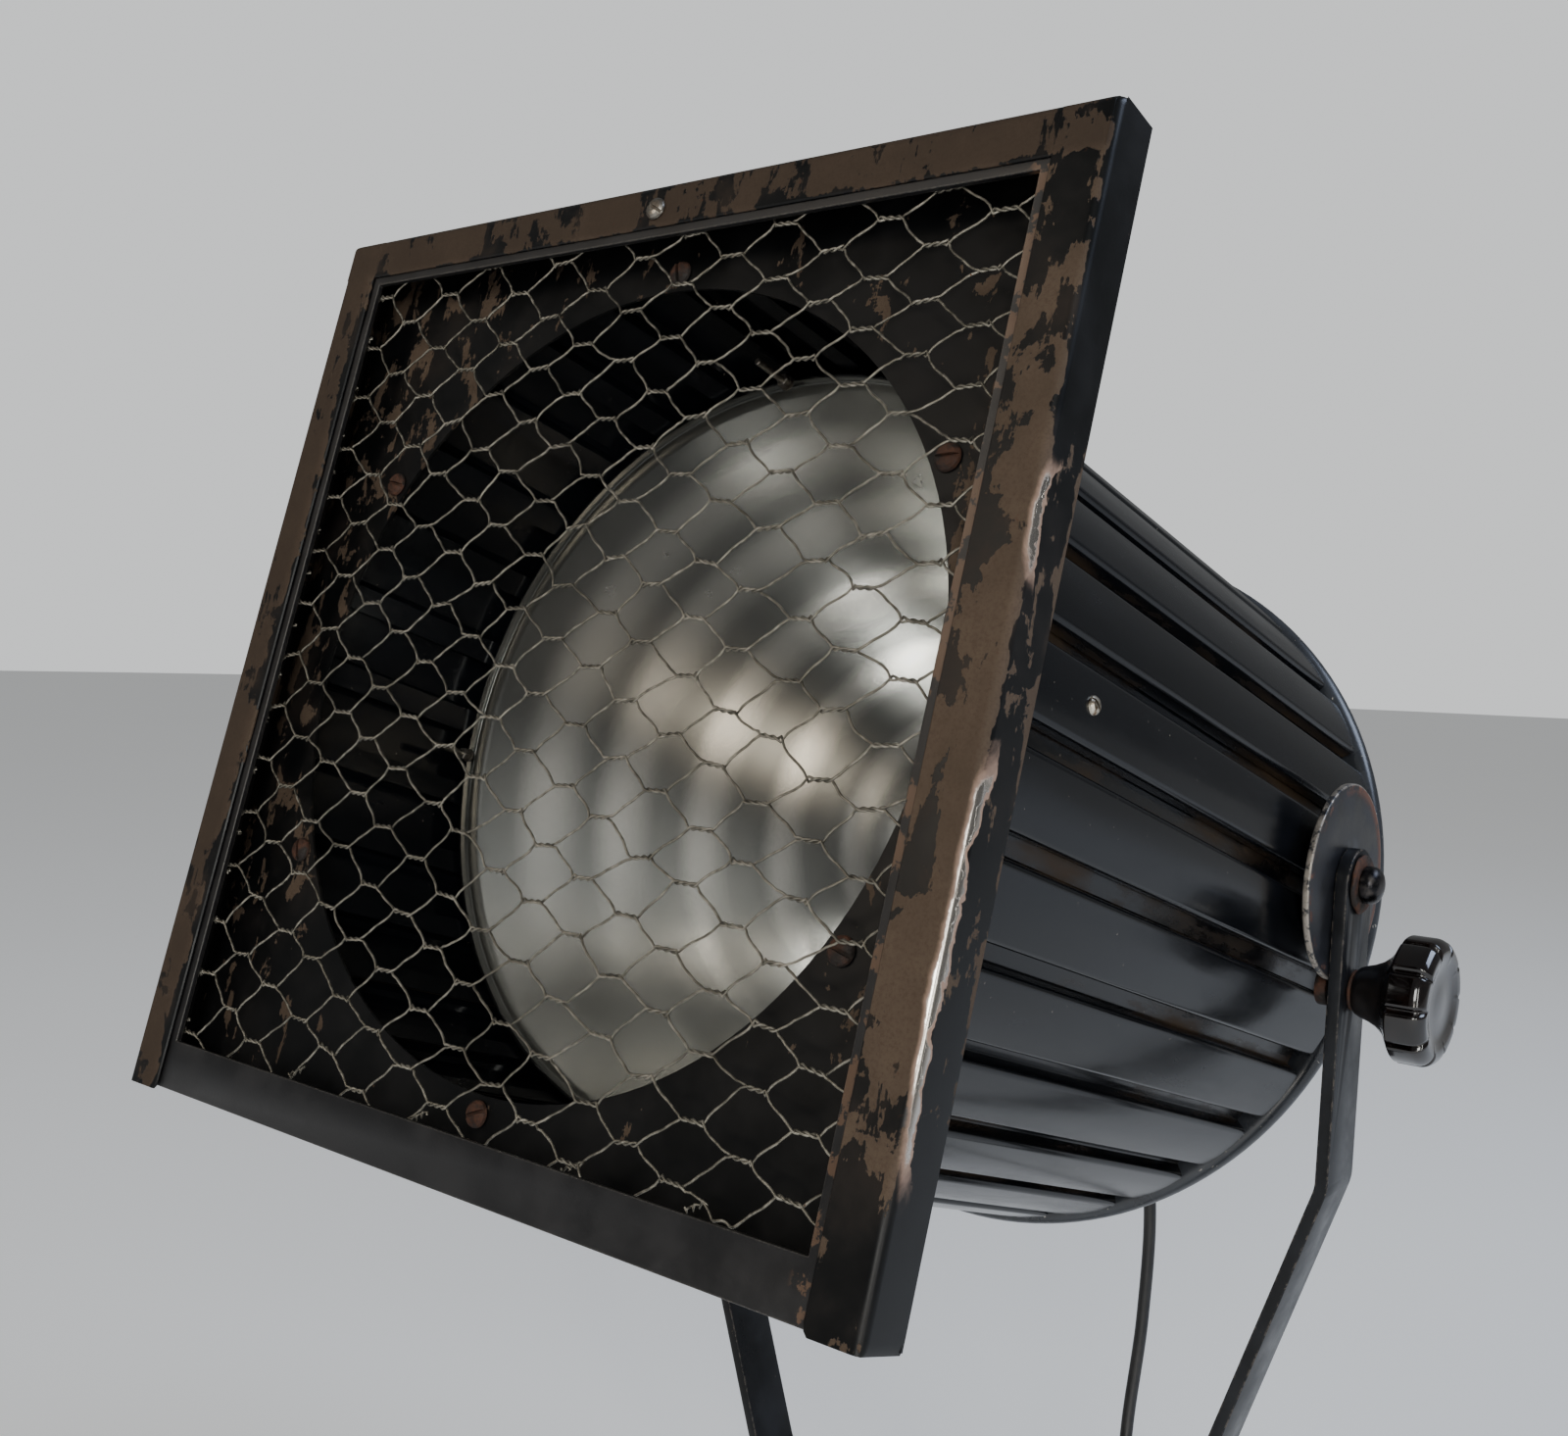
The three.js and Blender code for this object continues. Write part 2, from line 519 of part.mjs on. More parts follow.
// ---- lampholder through the cap and the bowl, and its capsule lamp
const HOLDER_Y = 22;
const LAMP_BASE_R = 8;
add('lampholder', turned([
  [0, HOLDER_Y + 14],
  [LAMP_BASE_R + 1.6, HOLDER_Y + 14],
  [LAMP_BASE_R + 1.6, HOLDER_Y],
  [HOLDER_R, HOLDER_Y],
  [HOLDER_R, BOX_Y],
  [30, BOX_Y],
  [30, BOX_Y + 4],
  [0, BOX_Y + 4],
], 32).translate(0, 0, -AXIS_DROP), CERAMIC, true);
add('lamp', turned([
  [0, HOLDER_Y - 62],
  [4, HOLDER_Y - 61],
  [7.6, HOLDER_Y - 57],
  [9, HOLDER_Y - 51],
  [9, HOLDER_Y - 12],
  [LAMP_BASE_R, HOLDER_Y - 4],
  [LAMP_BASE_R, HOLDER_Y + 14 - GAP],
  [0, HOLDER_Y + 14 - GAP],
], 24).translate(0, 0, -AXIS_DROP), GLASS, true);

// ---- guard: flat frame that slides down out of the runners, wire mesh behind it
const GUARD_Y = FACE_Y + SHEET + GAP;
const GUARD_T = 2.5;
const GUARD_X = HALF - WALL - SLIDE_GAP;
const GUARD_TOP = TOP_Z - WALL - SLIDE_GAP;
const GUARD_BOTTOM = BOTTOM_Z + 0.6;
const GUARD_IN_X = HALF - LIP - 4;
const GUARD_IN_TOP = TOP_Z - TOP_LIP - 3.7;
const GUARD_IN_BOTTOM = GUARD_BOTTOM + 20.8;
const frame = solid(box(-GUARD_X, GUARD_X, GUARD_Y, GUARD_Y + GUARD_T, GUARD_BOTTOM, GUARD_TOP))
  .subtract(solid(box(-GUARD_IN_X, GUARD_IN_X, GUARD_Y - 5, GUARD_Y + 9, GUARD_IN_BOTTOM, GUARD_IN_TOP)));
add('guard_frame', geometryOf(frame), GUARD, true);

const MESH_COLUMN = 23.7;     // between columns of twists
const MESH_ROW = 22.9;        // between twists in one column
const MESH_X0 = -4.9;         // a column of twists, and the first cell centre in it
const MESH_Z0 = -5.95;
const TWIST = 10;             // length of a twist
const WIRE = 1.4;             // strand width in the plane of the mesh
const MESH_X = GUARD_IN_X + 6;
const MESH_TOP = GUARD_IN_TOP + 6;
const MESH_BOTTOM = GUARD_IN_BOTTOM - 6;
const BORDER = 2;
function clip(poly, inside, cross) {
  const out = [];
  poly.forEach((p, i) => {
    const q = poly[(i + 1) % poly.length];
    if (inside(p)) out.push(p);
    if (inside(p) !== inside(q)) out.push(cross(p, q));
  });
  return out;
}
const crossX = (x) => (p, q) => [x, p[1] + (q[1] - p[1]) * (x - p[0]) / (q[0] - p[0])];
const crossZ = (z) => (p, q) => [p[0] + (q[0] - p[0]) * (z - p[1]) / (q[1] - p[1]), z];
const cells = [];
const LOW_X = -MESH_X + BORDER;
const HIGH_X = MESH_X - BORDER;
const LOW_Z = MESH_BOTTOM + BORDER;
const HIGH_Z = MESH_TOP - BORDER;
const COLUMNS = Math.ceil(MESH_X / MESH_COLUMN) + 1;
const ROWS = Math.ceil(MESH_X / MESH_ROW) + 2;
for (let c = -COLUMNS; c <= COLUMNS; c += 1) {
  for (let k = -ROWS; k <= ROWS; k += 1) {
    const cx = MESH_X0 + c * MESH_COLUMN;
    const cz = MESH_Z0 + k * MESH_ROW + (c % 2 === 0 ? 0 : MESH_ROW / 2);
    const h = MESH_ROW / 2 - WIRE / 2;
    const flat = TWIST / 2;
    const tip = MESH_COLUMN - TWIST / 2 - WIRE * 0.6;
    let cell = [[tip, 0], [flat, h], [-flat, h], [-tip, 0], [-flat, -h], [flat, -h]];
    cell = cell.map(([x, z]) => [x + cx, z + cz]);
    cell = clip(cell, (p) => p[0] > LOW_X, crossX(LOW_X));
    cell = clip(cell, (p) => p[0] < HIGH_X, crossX(HIGH_X));
    cell = clip(cell, (p) => p[1] > LOW_Z, crossZ(LOW_Z));
    cell = clip(cell, (p) => p[1] < HIGH_Z, crossZ(HIGH_Z));
    if (cell.length < 3) continue;
    const area = Math.abs(THREE.ShapeUtils.area(cell.map(([x, z]) => new THREE.Vector2(x, z))));
    if (area < 60) continue;
    const outline = new THREE.Shape(cell.map(([x, z]) => new THREE.Vector2(x, z)));
    const prism = new THREE.ExtrudeGeometry(outline, { depth: 6, bevelEnabled: false });
    prism.rotateX(Math.PI / 2);
    prism.translate(0, GUARD_Y + GUARD_T + 4, 0);
    cells.push(solid(prism));
  }
}
const MESH_Y = GUARD_Y + GUARD_T + GAP;
const meshPlate = solid(box(-MESH_X, MESH_X, MESH_Y, MESH_Y + 1, MESH_BOTTOM, MESH_TOP));
add('wire_mesh', geometryOf(meshPlate.subtract(wasm.Manifold.union(cells))), GALV, true);

// ---- cord: free run from the nozzle to the fork, coil tied behind the crossbar, plug
function tube(points, steps) {
  const path = new THREE.CatmullRomCurve3(points, false, 'centripetal');
  const section = new THREE.Shape();
  for (let i = 0; i < 8; i += 1) {
    const a = 2 * Math.PI * i / 8;
    if (i === 0) section.moveTo(CORD_R, 0);
    else section.lineTo(CORD_R * Math.cos(a), CORD_R * Math.sin(a));
  }
  section.closePath();
  return new THREE.ExtrudeGeometry(section, { steps, extrudePath: path, bevelEnabled: false });
}
const onHead = (x, y, z) => new THREE.Vector3(x, y, z).applyAxisAngle(new THREE.Vector3(1, 0, 0), -TILT);
const COIL_X = 45;
const COIL_Z = -FORK_DROP + BAR_T / 2 - COIL_R;
const COIL_Y = 61;
const COIL_PITCH = 7.7;
const ENTRY = 30;
const coilPoint = (deg) => {
  const a = THREE.MathUtils.degToRad(deg);
  const y = COIL_Y - COIL_PITCH * (ENTRY - deg) / 360;
  return new THREE.Vector3(COIL_X + COIL_R * Math.cos(a), y, COIL_Z + COIL_R * Math.sin(a));
};
const entry = coilPoint(ENTRY);
const runPoints = [
  onHead(NOZZLE_X, NOZZLE_Y, NOZZLE_END + 12),
  onHead(NOZZLE_X, NOZZLE_Y, NOZZLE_END),
  onHead(NOZZLE_X, NOZZLE_Y, NOZZLE_END - 12),
  new THREE.Vector3(52, 106, -165),
  new THREE.Vector3(60, 109, -212),
  new THREE.Vector3(62, 104, -280),
  new THREE.Vector3(62, 92, -340),
  new THREE.Vector3(68, 76, -382),
  new THREE.Vector3(entry.x - 4, entry.y + 2, entry.z + 12),
  new THREE.Vector3(entry.x - 0.3, entry.y, entry.z + GAP + 0.4),
];
add('cord_run', tube(runPoints, 24), RUBBER);
const coilPoints = [];
const COIL_END = -360 * COIL_TURNS;
for (let deg = ENTRY; deg >= COIL_END; deg -= 15) coilPoints.push(coilPoint(deg));
const tail = coilPoints[coilPoints.length - 1];
coilPoints.push(new THREE.Vector3(tail.x + 0.5, tail.y, tail.z - 12));
coilPoints.push(new THREE.Vector3(tail.x + 0.5, tail.y, tail.z - 30));
const PLUG_Z = tail.z - 44;
coilPoints.push(new THREE.Vector3(tail.x + 0.5, tail.y, PLUG_Z - 6));
add('cord_coil', tube(coilPoints, 76), RUBBER);

const TIE_W = 8;
const TIE_T = 1.5;
const tieIn = [-BAR_W / 2 - GAP, COIL_Y + CORD_R + 0.6, -FORK_DROP - 1.8, BAR_TOP + 1.8];
const tieOuter = box(COIL_X - TIE_W / 2, COIL_X + TIE_W / 2,
  tieIn[0] - TIE_T, tieIn[1] + TIE_T, tieIn[2] - TIE_T, tieIn[3] + TIE_T);
const tieHole = box(COIL_X - TIE_W, COIL_X + TIE_W, tieIn[0], tieIn[1], tieIn[2], tieIn[3]);
add('cord_tie', geometryOf(solid(tieOuter).subtract(solid(tieHole))), RUBBER);

let plug = solid(alongZ(turned([
  [0, PLUG_Z - 38],
  [21, PLUG_Z - 38],
  [21, PLUG_Z - 22],
  [18, PLUG_Z - 15],
  [8, PLUG_Z - 8],
  [7, PLUG_Z],
  [CORD_R + 0.4, PLUG_Z],
  [CORD_R + 0.4, PLUG_Z - 10],
  [0, PLUG_Z - 10],
], 28)));
for (const [x, y, r] of [[0, 11, 4], [-9, -7, 3.2], [9, -7, 3.2]]) {
  plug = plug.add(solid(alongZ(cylinder(r, PLUG_Z - 58, PLUG_Z - 37, 14)).translate(x, y, 0)));
}
add('plug', geometryOf(plug).translate(tail.x + 0.5, tail.y, 0), RUBBER);

export default root;
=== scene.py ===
import bpy
import bmesh
import math
import random
from mathutils import Matrix, Vector


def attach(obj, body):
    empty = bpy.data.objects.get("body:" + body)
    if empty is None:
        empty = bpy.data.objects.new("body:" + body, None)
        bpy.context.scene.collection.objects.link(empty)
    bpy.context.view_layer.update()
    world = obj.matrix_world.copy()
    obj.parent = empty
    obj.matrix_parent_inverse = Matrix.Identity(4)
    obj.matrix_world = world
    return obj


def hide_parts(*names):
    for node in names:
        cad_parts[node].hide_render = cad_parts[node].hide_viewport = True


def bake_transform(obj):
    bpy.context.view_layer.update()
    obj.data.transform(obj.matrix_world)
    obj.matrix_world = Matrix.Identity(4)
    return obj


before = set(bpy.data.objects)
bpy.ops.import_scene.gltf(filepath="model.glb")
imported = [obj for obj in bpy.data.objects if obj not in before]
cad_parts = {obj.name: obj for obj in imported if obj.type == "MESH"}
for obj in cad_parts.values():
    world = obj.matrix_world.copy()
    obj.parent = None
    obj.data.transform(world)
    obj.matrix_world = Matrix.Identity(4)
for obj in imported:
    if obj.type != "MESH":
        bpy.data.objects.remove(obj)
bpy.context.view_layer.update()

# Daylight studio: a large pale floor that glows a little, a broad cool window high on the
# right, weaker ones in front that fill the bowl and its arcs, and a long lens close by.
TILT_AXIS = Vector((0.0, 0.0, 0.5013))


def hex_colour(text):
    parts = [int(text[i:i + 2], 16) / 255 for i in (1, 3, 5)]
    return tuple(c / 12.92 if c <= 0.04045 else ((c + 0.055) / 1.055) ** 2.4 for c in parts) + (1.0,)


def link_object(name, data):
    obj = bpy.data.objects.new(name, data)
    bpy.context.scene.collection.objects.link(obj)
    return obj


def place_camera(azimuth, elevation, roll, distance, offset, lens, shift):
    az, el, turn = (math.radians(a) for a in (azimuth, elevation, roll))
    back = Vector((math.sin(az) * math.cos(el), -math.cos(az) * math.cos(el), math.sin(el)))
    right = (-back).cross(Vector((0, 0, 1))).normalized()
    up = right.cross(-back).normalized()
    right, up = (right * math.cos(turn) + up * math.sin(turn),
                 up * math.cos(turn) - right * math.sin(turn))
    data = bpy.data.cameras.new("camera")
    data.lens = lens
    data.sensor_width = 36
    data.shift_x, data.shift_y = shift
    data.clip_start = 0.02
    spot = TILT_AXIS + back * distance + Vector(offset)
    camera = link_object("camera", data)
    camera.matrix_world = (Matrix.Translation(spot)
                           @ Matrix((right, up, back)).transposed().to_4x4())
    bpy.context.scene.camera = camera


place_camera(40.14, 5.64, 1.71, 0.98395, (-0.17074, 0, 0.01282), 37.67, (0.0333, 0.0426))


def soft_window(name, spot, aim, size, power, colour):
    data = bpy.data.lights.new(name, "AREA")
    data.shape = "RECTANGLE"
    data.size, data.size_y = size
    data.energy = power
    data.color = hex_colour(colour)[:3]
    window = link_object(name, data)
    window.location = spot
    window.rotation_euler = (Vector(aim) - Vector(spot)).to_track_quat("-Z", "Y").to_euler()


soft_window("high_window", (1.9, 1.0, 2.6), (0, 0, 0.5), (1.6, 1.2), 58, "#cddcf8")
soft_window("front_window", (-1.1, -2.6, 1.9), (0, -0.2, 0.5), (1.0, 0.8), 16, "#fff0dc")
soft_window("bowl_window", (1.7, -2.7, 1.5), (0, -0.1, 0.5), (0.8, 1.1), 50, "#f8f8f4")
soft_window("arc_window", (2.3, -1.75, 0.95), (0, -0.1, 0.45), (0.22, 1.5), 13, "#fbf9f4")
soft_window("corner_light", (1.35, -2.1, 0.25), (0.2, -0.3, 0.4), (0.25, 0.8), 7, "#fff7ea")


def node(tree, kind, inputs=(), out=0, to=None, **settings):
    """Adds one node with its settings and links, and gives its chosen output, or the node.

    Inputs come by name or in order. A kind that doesn't say Node is a shader node.
    """
    made = tree.nodes.new(kind if "Node" in kind else "ShaderNode" + kind)
    for key, value in settings.items():
        setattr(made, key, value)
    for key, value in inputs.items() if isinstance(inputs, dict) else enumerate(inputs):
        if isinstance(value, str) and value.startswith("#"):
            value = hex_colour(value)
        if isinstance(value, bpy.types.NodeSocket):
            tree.links.new(value, made.inputs[key])
        else:
            made.inputs[key].default_value = value
    if to:
        tree.links.new(made.outputs[out], to)
    return made if out is None else made.outputs[out]


# settings that many nodes share
EASED, COLOURS = {"interpolation_type": "SMOOTHSTEP"}, {"out": 2, "data_type": "RGBA"}
TIMES, PLUS, MINUS, LARGER = ({"operation": kind} for kind in ("MULTIPLY", "ADD", "SUBTRACT", "MAXIMUM"))

# the studio's far end is pale to look at and gives the object only a soft fill
world = bpy.data.worlds.new("studio_air")
world.use_nodes = True
air = world.node_tree
seen = node(air, "LightPath", out="Is Camera Ray")
air.nodes["Background"].inputs["Color"].default_value = hex_colour("#e4e6e7")
air.links.new(
    node(air, "MapRange", {"Value": seen, "To Min": 0.22, "To Max": 1.1}),
    air.nodes["Background"].inputs["Strength"])
bpy.context.scene.world = world


def new_finish(name, colour, roughness, metallic=0.0, **sockets):
    finish = bpy.data.materials.new(name)
    finish.use_nodes = True
    shader = finish.node_tree.nodes["Principled BSDF"]
    shader.inputs["Base Color"].default_value = hex_colour(colour)
    shader.inputs["Roughness"].default_value = roughness
    shader.inputs["Metallic"].default_value = metallic
    for key, value in sockets.items():
        shader.inputs[key.replace("_", " ").title().replace("Ior", "IOR")].default_value = value
    return finish, finish.node_tree, shader


def solid_mesh(name, vertices, faces, finish, sharp=35):
    mesh = bpy.data.meshes.new(name)
    mesh.from_pydata([tuple(v) for v in vertices], [], faces)
    mesh.materials.append(finish)
    shell = bmesh.new()
    shell.from_mesh(mesh)
    bmesh.ops.remove_doubles(shell, verts=shell.verts, dist=1e-6)
    bmesh.ops.recalc_face_normals(shell, faces=shell.faces)
    shell.to_mesh(mesh)
    shell.free()
    mesh.shade_smooth()
    if sharp:
        mesh.set_sharp_from_angle(angle=math.radians(sharp))
    return link_object(name, mesh)


# matt emulsion on a studio floor, with only slight cloudiness
floor_paint, tree, shader = new_finish("floor_emulsion", "#d9d9d6", 0.8)
cloud = node(tree, "TexNoise", {"Vector": node(tree, "TexCoord", out="Object"), "Scale": 1.5})
node(tree, "Mix", {0: cloud, 6: "#eeeeeb", 7: "#f3f3f1"}, **COLOURS, to=shader.inputs["Base Color"])
edge = [(16 * math.cos(a), 16 * math.sin(a), -0.034) for a in (math.tau * k / 64 for k in range(64))]
floor = solid_mesh("floor", edge, [list(range(64))], floor_paint, None)
if floor.data.polygons[0].normal.z < 0:
    floor.data.flip_normals()
shader.inputs["Emission Color"].default_value = hex_colour("#eef0f2")
shader.inputs["Emission Strength"].default_value = 0.27

# Flex: a 7 mm black rubber-sheathed lead from a nozzle under the lamp box.
# It hangs to the fork's foot, is coiled there and tied behind the crossbar.
HEAD_TILT = math.radians(17.28)


def on_head(x, y, z):
    """A point in millimetres from the tilt axis, as on the level head, where the tilted head has it."""
    c, s = math.cos(HEAD_TILT), math.sin(HEAD_TILT)
    return TILT_AXIS + Vector((x, y * c + z * s, z * c - y * s)) / 1000


def on_fork(x, y, z):
    return TILT_AXIS + Vector((x, y, z)) / 1000


# rubber sheath: near black, satin where it is handled, with grey dust in its skin
rubber, tree, shader = new_finish("rubber_sheath", "#131315", 0.5, ior=1.52)
place = node(tree, "TexCoord", out="Object")
dust = node(tree, "TexNoise", {"Vector": place, "Scale": 70, "Detail": 5})
dusty = node(tree, "MapRange", {"Value": dust, "From Min": 0.42, "From Max": 0.75})
node(tree, "Mix", {0: dusty, 6: "#0e0e10", 7: "#2a2928"}, **COLOURS, to=shader.inputs["Base Color"])
node(tree, "MapRange", {"Value": dust, "To Min": 0.36, "To Max": 0.66}, to=shader.inputs["Roughness"])
grain = node(tree, "TexNoise", {"Vector": place, "Scale": 1400, "Detail": 2})
node(tree, "Bump", {"Height": grain, "Strength": 0.2, "Distance": 0.0003}, to=shader.inputs["Normal"])

CORD_R = 3.5
NOZZLE = (40, 131.5, -71.8)
COIL_X, COIL_Y, COIL_Z, COIL_R, COIL_PITCH, ENTRY, TURNS = 45, 61, -432, 40, 7.7, 30, 4


def on_coil(degrees):
    a = math.radians(degrees)
    return on_fork(COIL_X + COIL_R * math.cos(a), COIL_Y - COIL_PITCH * (ENTRY - degrees) / 360,
                   COIL_Z + COIL_R * math.sin(a))


route = [on_head(NOZZLE[0], NOZZLE[1], NOZZLE[2] + up) for up in (12, 0, -12)]
route += [on_fork(*p) for p in ((52, 106, -165), (60, 109, -212), (62, 104, -280),
                                (62, 92, -340), (68, 76, -382))]
route.append(on_coil(ENTRY) + Vector((-0.004, 0.002, 0.012)))
route += [on_coil(d) for d in range(ENTRY, -360 * TURNS - 1, -15)]
coil_end = route[-1]
route += [coil_end + Vector((0.0005, 0, -drop)) for drop in (0.012, 0.030, 0.050)]


def even_path(points, step=0.003):
    """A smooth curve through the points, given at even steps."""
    dense = []
    for i in range(len(points) - 1):
        p0 = points[i - 1] if i else points[0] * 2 - points[1]
        p1, p2 = points[i], points[i + 1]
        p3 = points[i + 2] if i + 2 < len(points) else points[-1] * 2 - points[-2]
        t1 = (p1 - p0).length ** 0.5
        t2 = t1 + (p2 - p1).length ** 0.5
        t3 = t2 + (p3 - p2).length ** 0.5
        for k in range(16):
            t = t1 + (t2 - t1) * k / 16
            a1 = p0.lerp(p1, t / t1)
            a2 = p1.lerp(p2, (t - t1) / (t2 - t1))
            a3 = p2.lerp(p3, (t - t2) / (t3 - t2))
            dense.append(a1.lerp(a2, t / t2).lerp(a2.lerp(a3, (t - t1) / (t3 - t1)), (t - t1) / (t2 - t1)))
    dense.append(points[-1])
    path, gone = [dense[0]], 0.0
    for a, b in zip(dense, dense[1:]):
        gone += (b - a).length
        if gone >= step:
            path.append(b)
            gone = 0.0
    if (path[-1] - dense[-1]).length > step / 3:
        path.append(dense[-1])
    return path


def swept_bar(name, path, radii, sides, finish):
    """A round bar along a path, its radius in metres given at each point."""
    vertices, faces, side = [], [], None
    for i, p in enumerate(path):
        along = (path[min(i + 1, len(path) - 1)] - path[max(i - 1, 0)]).normalized()
        side = side or along.orthogonal()
        side = (side - along * side.dot(along)).normalized()
        other = along.cross(side)
        for k in range(sides):
            a = math.tau * k / sides
            vertices.append(p + side * (radii[i] * math.cos(a)) + other * (radii[i] * math.sin(a)))
    for i in range(len(path) - 1):
        for k in range(sides):
            n = (k + 1) % sides
            faces.append((i * sides + k, i * sides + n, (i + 1) * sides + n, (i + 1) * sides + k))
    faces += [list(range(sides)), [(len(path) - 1) * sides + k for k in range(sides)]]
    return solid_mesh(name, vertices, faces, finish)


cord_path = even_path(route)
flex = swept_bar("flex", cord_path, [CORD_R / 1000] * len(cord_path), 16, rubber)
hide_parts("cord_run", "cord_coil")
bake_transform(flex)
# Cord grip: a ribbed rubber nozzle moulded to taper down on to the flex.
# It is pushed into the hole in the lamp box and holds the flex as it bends.
grip_path = [on_head(NOZZLE[0], NOZZLE[1], NOZZLE[2] + 15.8 - i) for i in range(0, 41)]
grip_radii = []
for i in range(41):
    body = 8.2 - 3.9 * max(0, i - 8) / 32
    grip_radii.append((body - (0.7 if i > 10 and i % 5 in (0, 1) else 0)) / 1000)
cord_grip = swept_bar("cord_grip", grip_path, grip_radii, 28, rubber)
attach(cord_grip, "lantern")


def finished_copy(name, cad_nodes, finish, body, bevel=0.0005, steps=2):
    """The CAD shape of some pieces in one body, made one clean mesh with its hard edges eased."""
    shell = bmesh.new()
    for cad_name in cad_nodes:
        shell.from_mesh(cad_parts[cad_name].data)
    bmesh.ops.remove_doubles(shell, verts=shell.verts, dist=2e-5)
    bmesh.ops.dissolve_limit(shell, angle_limit=math.radians(0.6), verts=shell.verts, edges=shell.edges)
    mesh = bpy.data.meshes.new(name)
    shell.to_mesh(mesh)
    shell.free()
    mesh.materials.clear()
    mesh.materials.append(finish)
    mesh.polygons.foreach_set("material_index", [0] * len(mesh.polygons))
    mesh.shade_smooth()
    copy = link_object(name, mesh)
    ease_edges(copy, bevel, steps)
    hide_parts(*cad_nodes)
    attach(copy, body)
    return copy


def ease_edges(obj, width, steps=2, angle=28):
    bevel = obj.modifiers.new("eased_edges", "BEVEL")
    bevel.width = width
    bevel.segments = steps
    bevel.limit_method = "ANGLE"
    bevel.angle_limit = math.radians(angle)
    bevel.harden_normals = True
    bevel.use_clamp_overlap = True


finished_copy("tie_strap", ["cord_tie"], rubber, "yoke", 0.0004)

# Plug: a round three-pin plug in black moulded rubber, held by its own sleeve.
# Its grip has shallow ribs to pull on and its three pins are turned brass.
def turned(name, profile, axis, put, finish, segments=48, centre=(0, 0, 0), sharp=35, wave=None):
    """A lathe-turned piece: closed profile of [radius, height] in millimetres about an axis through centre."""
    loop = profile if profile[0] != profile[-1] else profile[:-1]
    vertices, faces, rings = [], [], []
    for i, (r, h) in enumerate(loop):
        ring = []
        for k in range(segments if r > 1e-6 else 1):
            a = math.tau * k / segments
            q = r + (wave(i, a) if wave else 0)
            u, v = q * math.cos(a), q * math.sin(a)
            p = {"x": (h, u, v), "y": (u, h, v), "z": (u, v, h)}[axis]
            ring.append(len(vertices))
            vertices.append(put(*(a + b for a, b in zip(p, centre))))
        rings.append(ring)
    whole = loop[0][0] > 1e-6 or loop[-1][0] > 1e-6
    for i in range(len(rings) if whole else len(rings) - 1):
        a, b = rings[i], rings[(i + 1) % len(rings)]
        for k in range(segments):
            n = (k + 1) % segments
            corners = [a[k % len(a)], a[n % len(a)], b[n % len(b)], b[k % len(b)]]
            corners = [c for j, c in enumerate(corners) if c not in corners[:j]]
            if len(corners) > 2:
                faces.append(corners)
    return solid_mesh(name, vertices, faces, finish, sharp)


def bend(r, h, radius, start, end, steps=5):
    """Points of an arc in a profile, from one angle to another in degrees."""
    return [(r + radius * math.cos(math.radians(start + (end - start) * k / steps)),
             h + radius * math.sin(math.radians(start + (end - start) * k / steps))) for k in range(steps + 1)]


# turned brass pins: warm yellow, dulled by handling
brass, tree, shader = new_finish("turned_brass", "#a98545", 0.34, 1.0)
place = node(tree, "TexCoord", out="Object")
tarnish = node(tree, "TexNoise", {"Vector": place, "Scale": 260, "Detail": 4})
node(tree, "Mix", {0: tarnish, 6: "#6f5730", 7: "#c9a361"}, **COLOURS, to=shader.inputs["Base Color"])
node(tree, "MapRange", {"Value": tarnish, "To Min": 0.24, "To Max": 0.5}, to=shader.inputs["Roughness"])

PLUG_TOP = -476
plug_x, plug_y = COIL_X + COIL_R + 0.5, COIL_Y - COIL_PITCH * (ENTRY + 360 * TURNS) / 360
plug_profile = [(0, -38), (19.6, -38)] + bend(19.8, -36.8, 1.2, -90, 0, 3) + [(21, -22.6)]
plug_profile += [(20.2, -19.6), (18, -15), (14, -11.6), (10, -9.2), (8, -8)]
plug_profile += [
    (7.7, -6.4), (7.1, -6), (7.6, -5.2), (7.5, -3.6), (6.9, -3.2), (7.3, -2.4), (6.9, 0), (3.9, 0),
    (3.9, -10), (0, -10)]
grips = [i for i, (r, h) in enumerate(plug_profile) if r > 20.5]
plug_body = turned("plug_body", plug_profile, "z", on_fork, rubber, 96, (plug_x, plug_y, PLUG_TOP), 40,
                   wave=lambda i, a: -0.5 * (0.5 + 0.5 * math.cos(24 * a)) ** 6 if i in grips else 0)
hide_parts("plug")
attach(plug_body, "yoke")
for number, (x, y, r) in enumerate(((0, 11, 4), (-9, -7, 3.2), (9, -7, 3.2)), 1):
    pin = turned(
        f"plug_pin_{number}",
        [(0, -58)] + bend(r - 0.8, -57.2, 0.8, -90, 0, 3) + [(r, -37.6), (0, -37.6)], "z", on_fork,
        brass, 28, (plug_x + x, plug_y + y, PLUG_TOP))
    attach(pin, "yoke")

# Front tray: sheet steel, 400 mm square, with the round opening cut in its back plate.
# Its two sides and top are folded forward and in again as runners for the guard.
HALF, FACE_Y, PLATE_Y = 200, -328.3, -305.5
TOP_Z, BOTTOM_Z = 194.2, -205.8
HOLE_R, HOLE_Z = 164.3, -5.8
LIP, TOP_LIP, FOLD_R = 22, 19, 3.8


def head_place(tree):
    """Where a point is on the level head, in metres from the tilt axis."""
    level = Matrix.Rotation(HEAD_TILT, 3, "X") @ TILT_AXIS
    return node(tree, "Mapping", {
        "Vector": node(tree, "TexCoord", out="Object"), "Location": tuple(-level),
        "Rotation": (HEAD_TILT, 0, 0)})


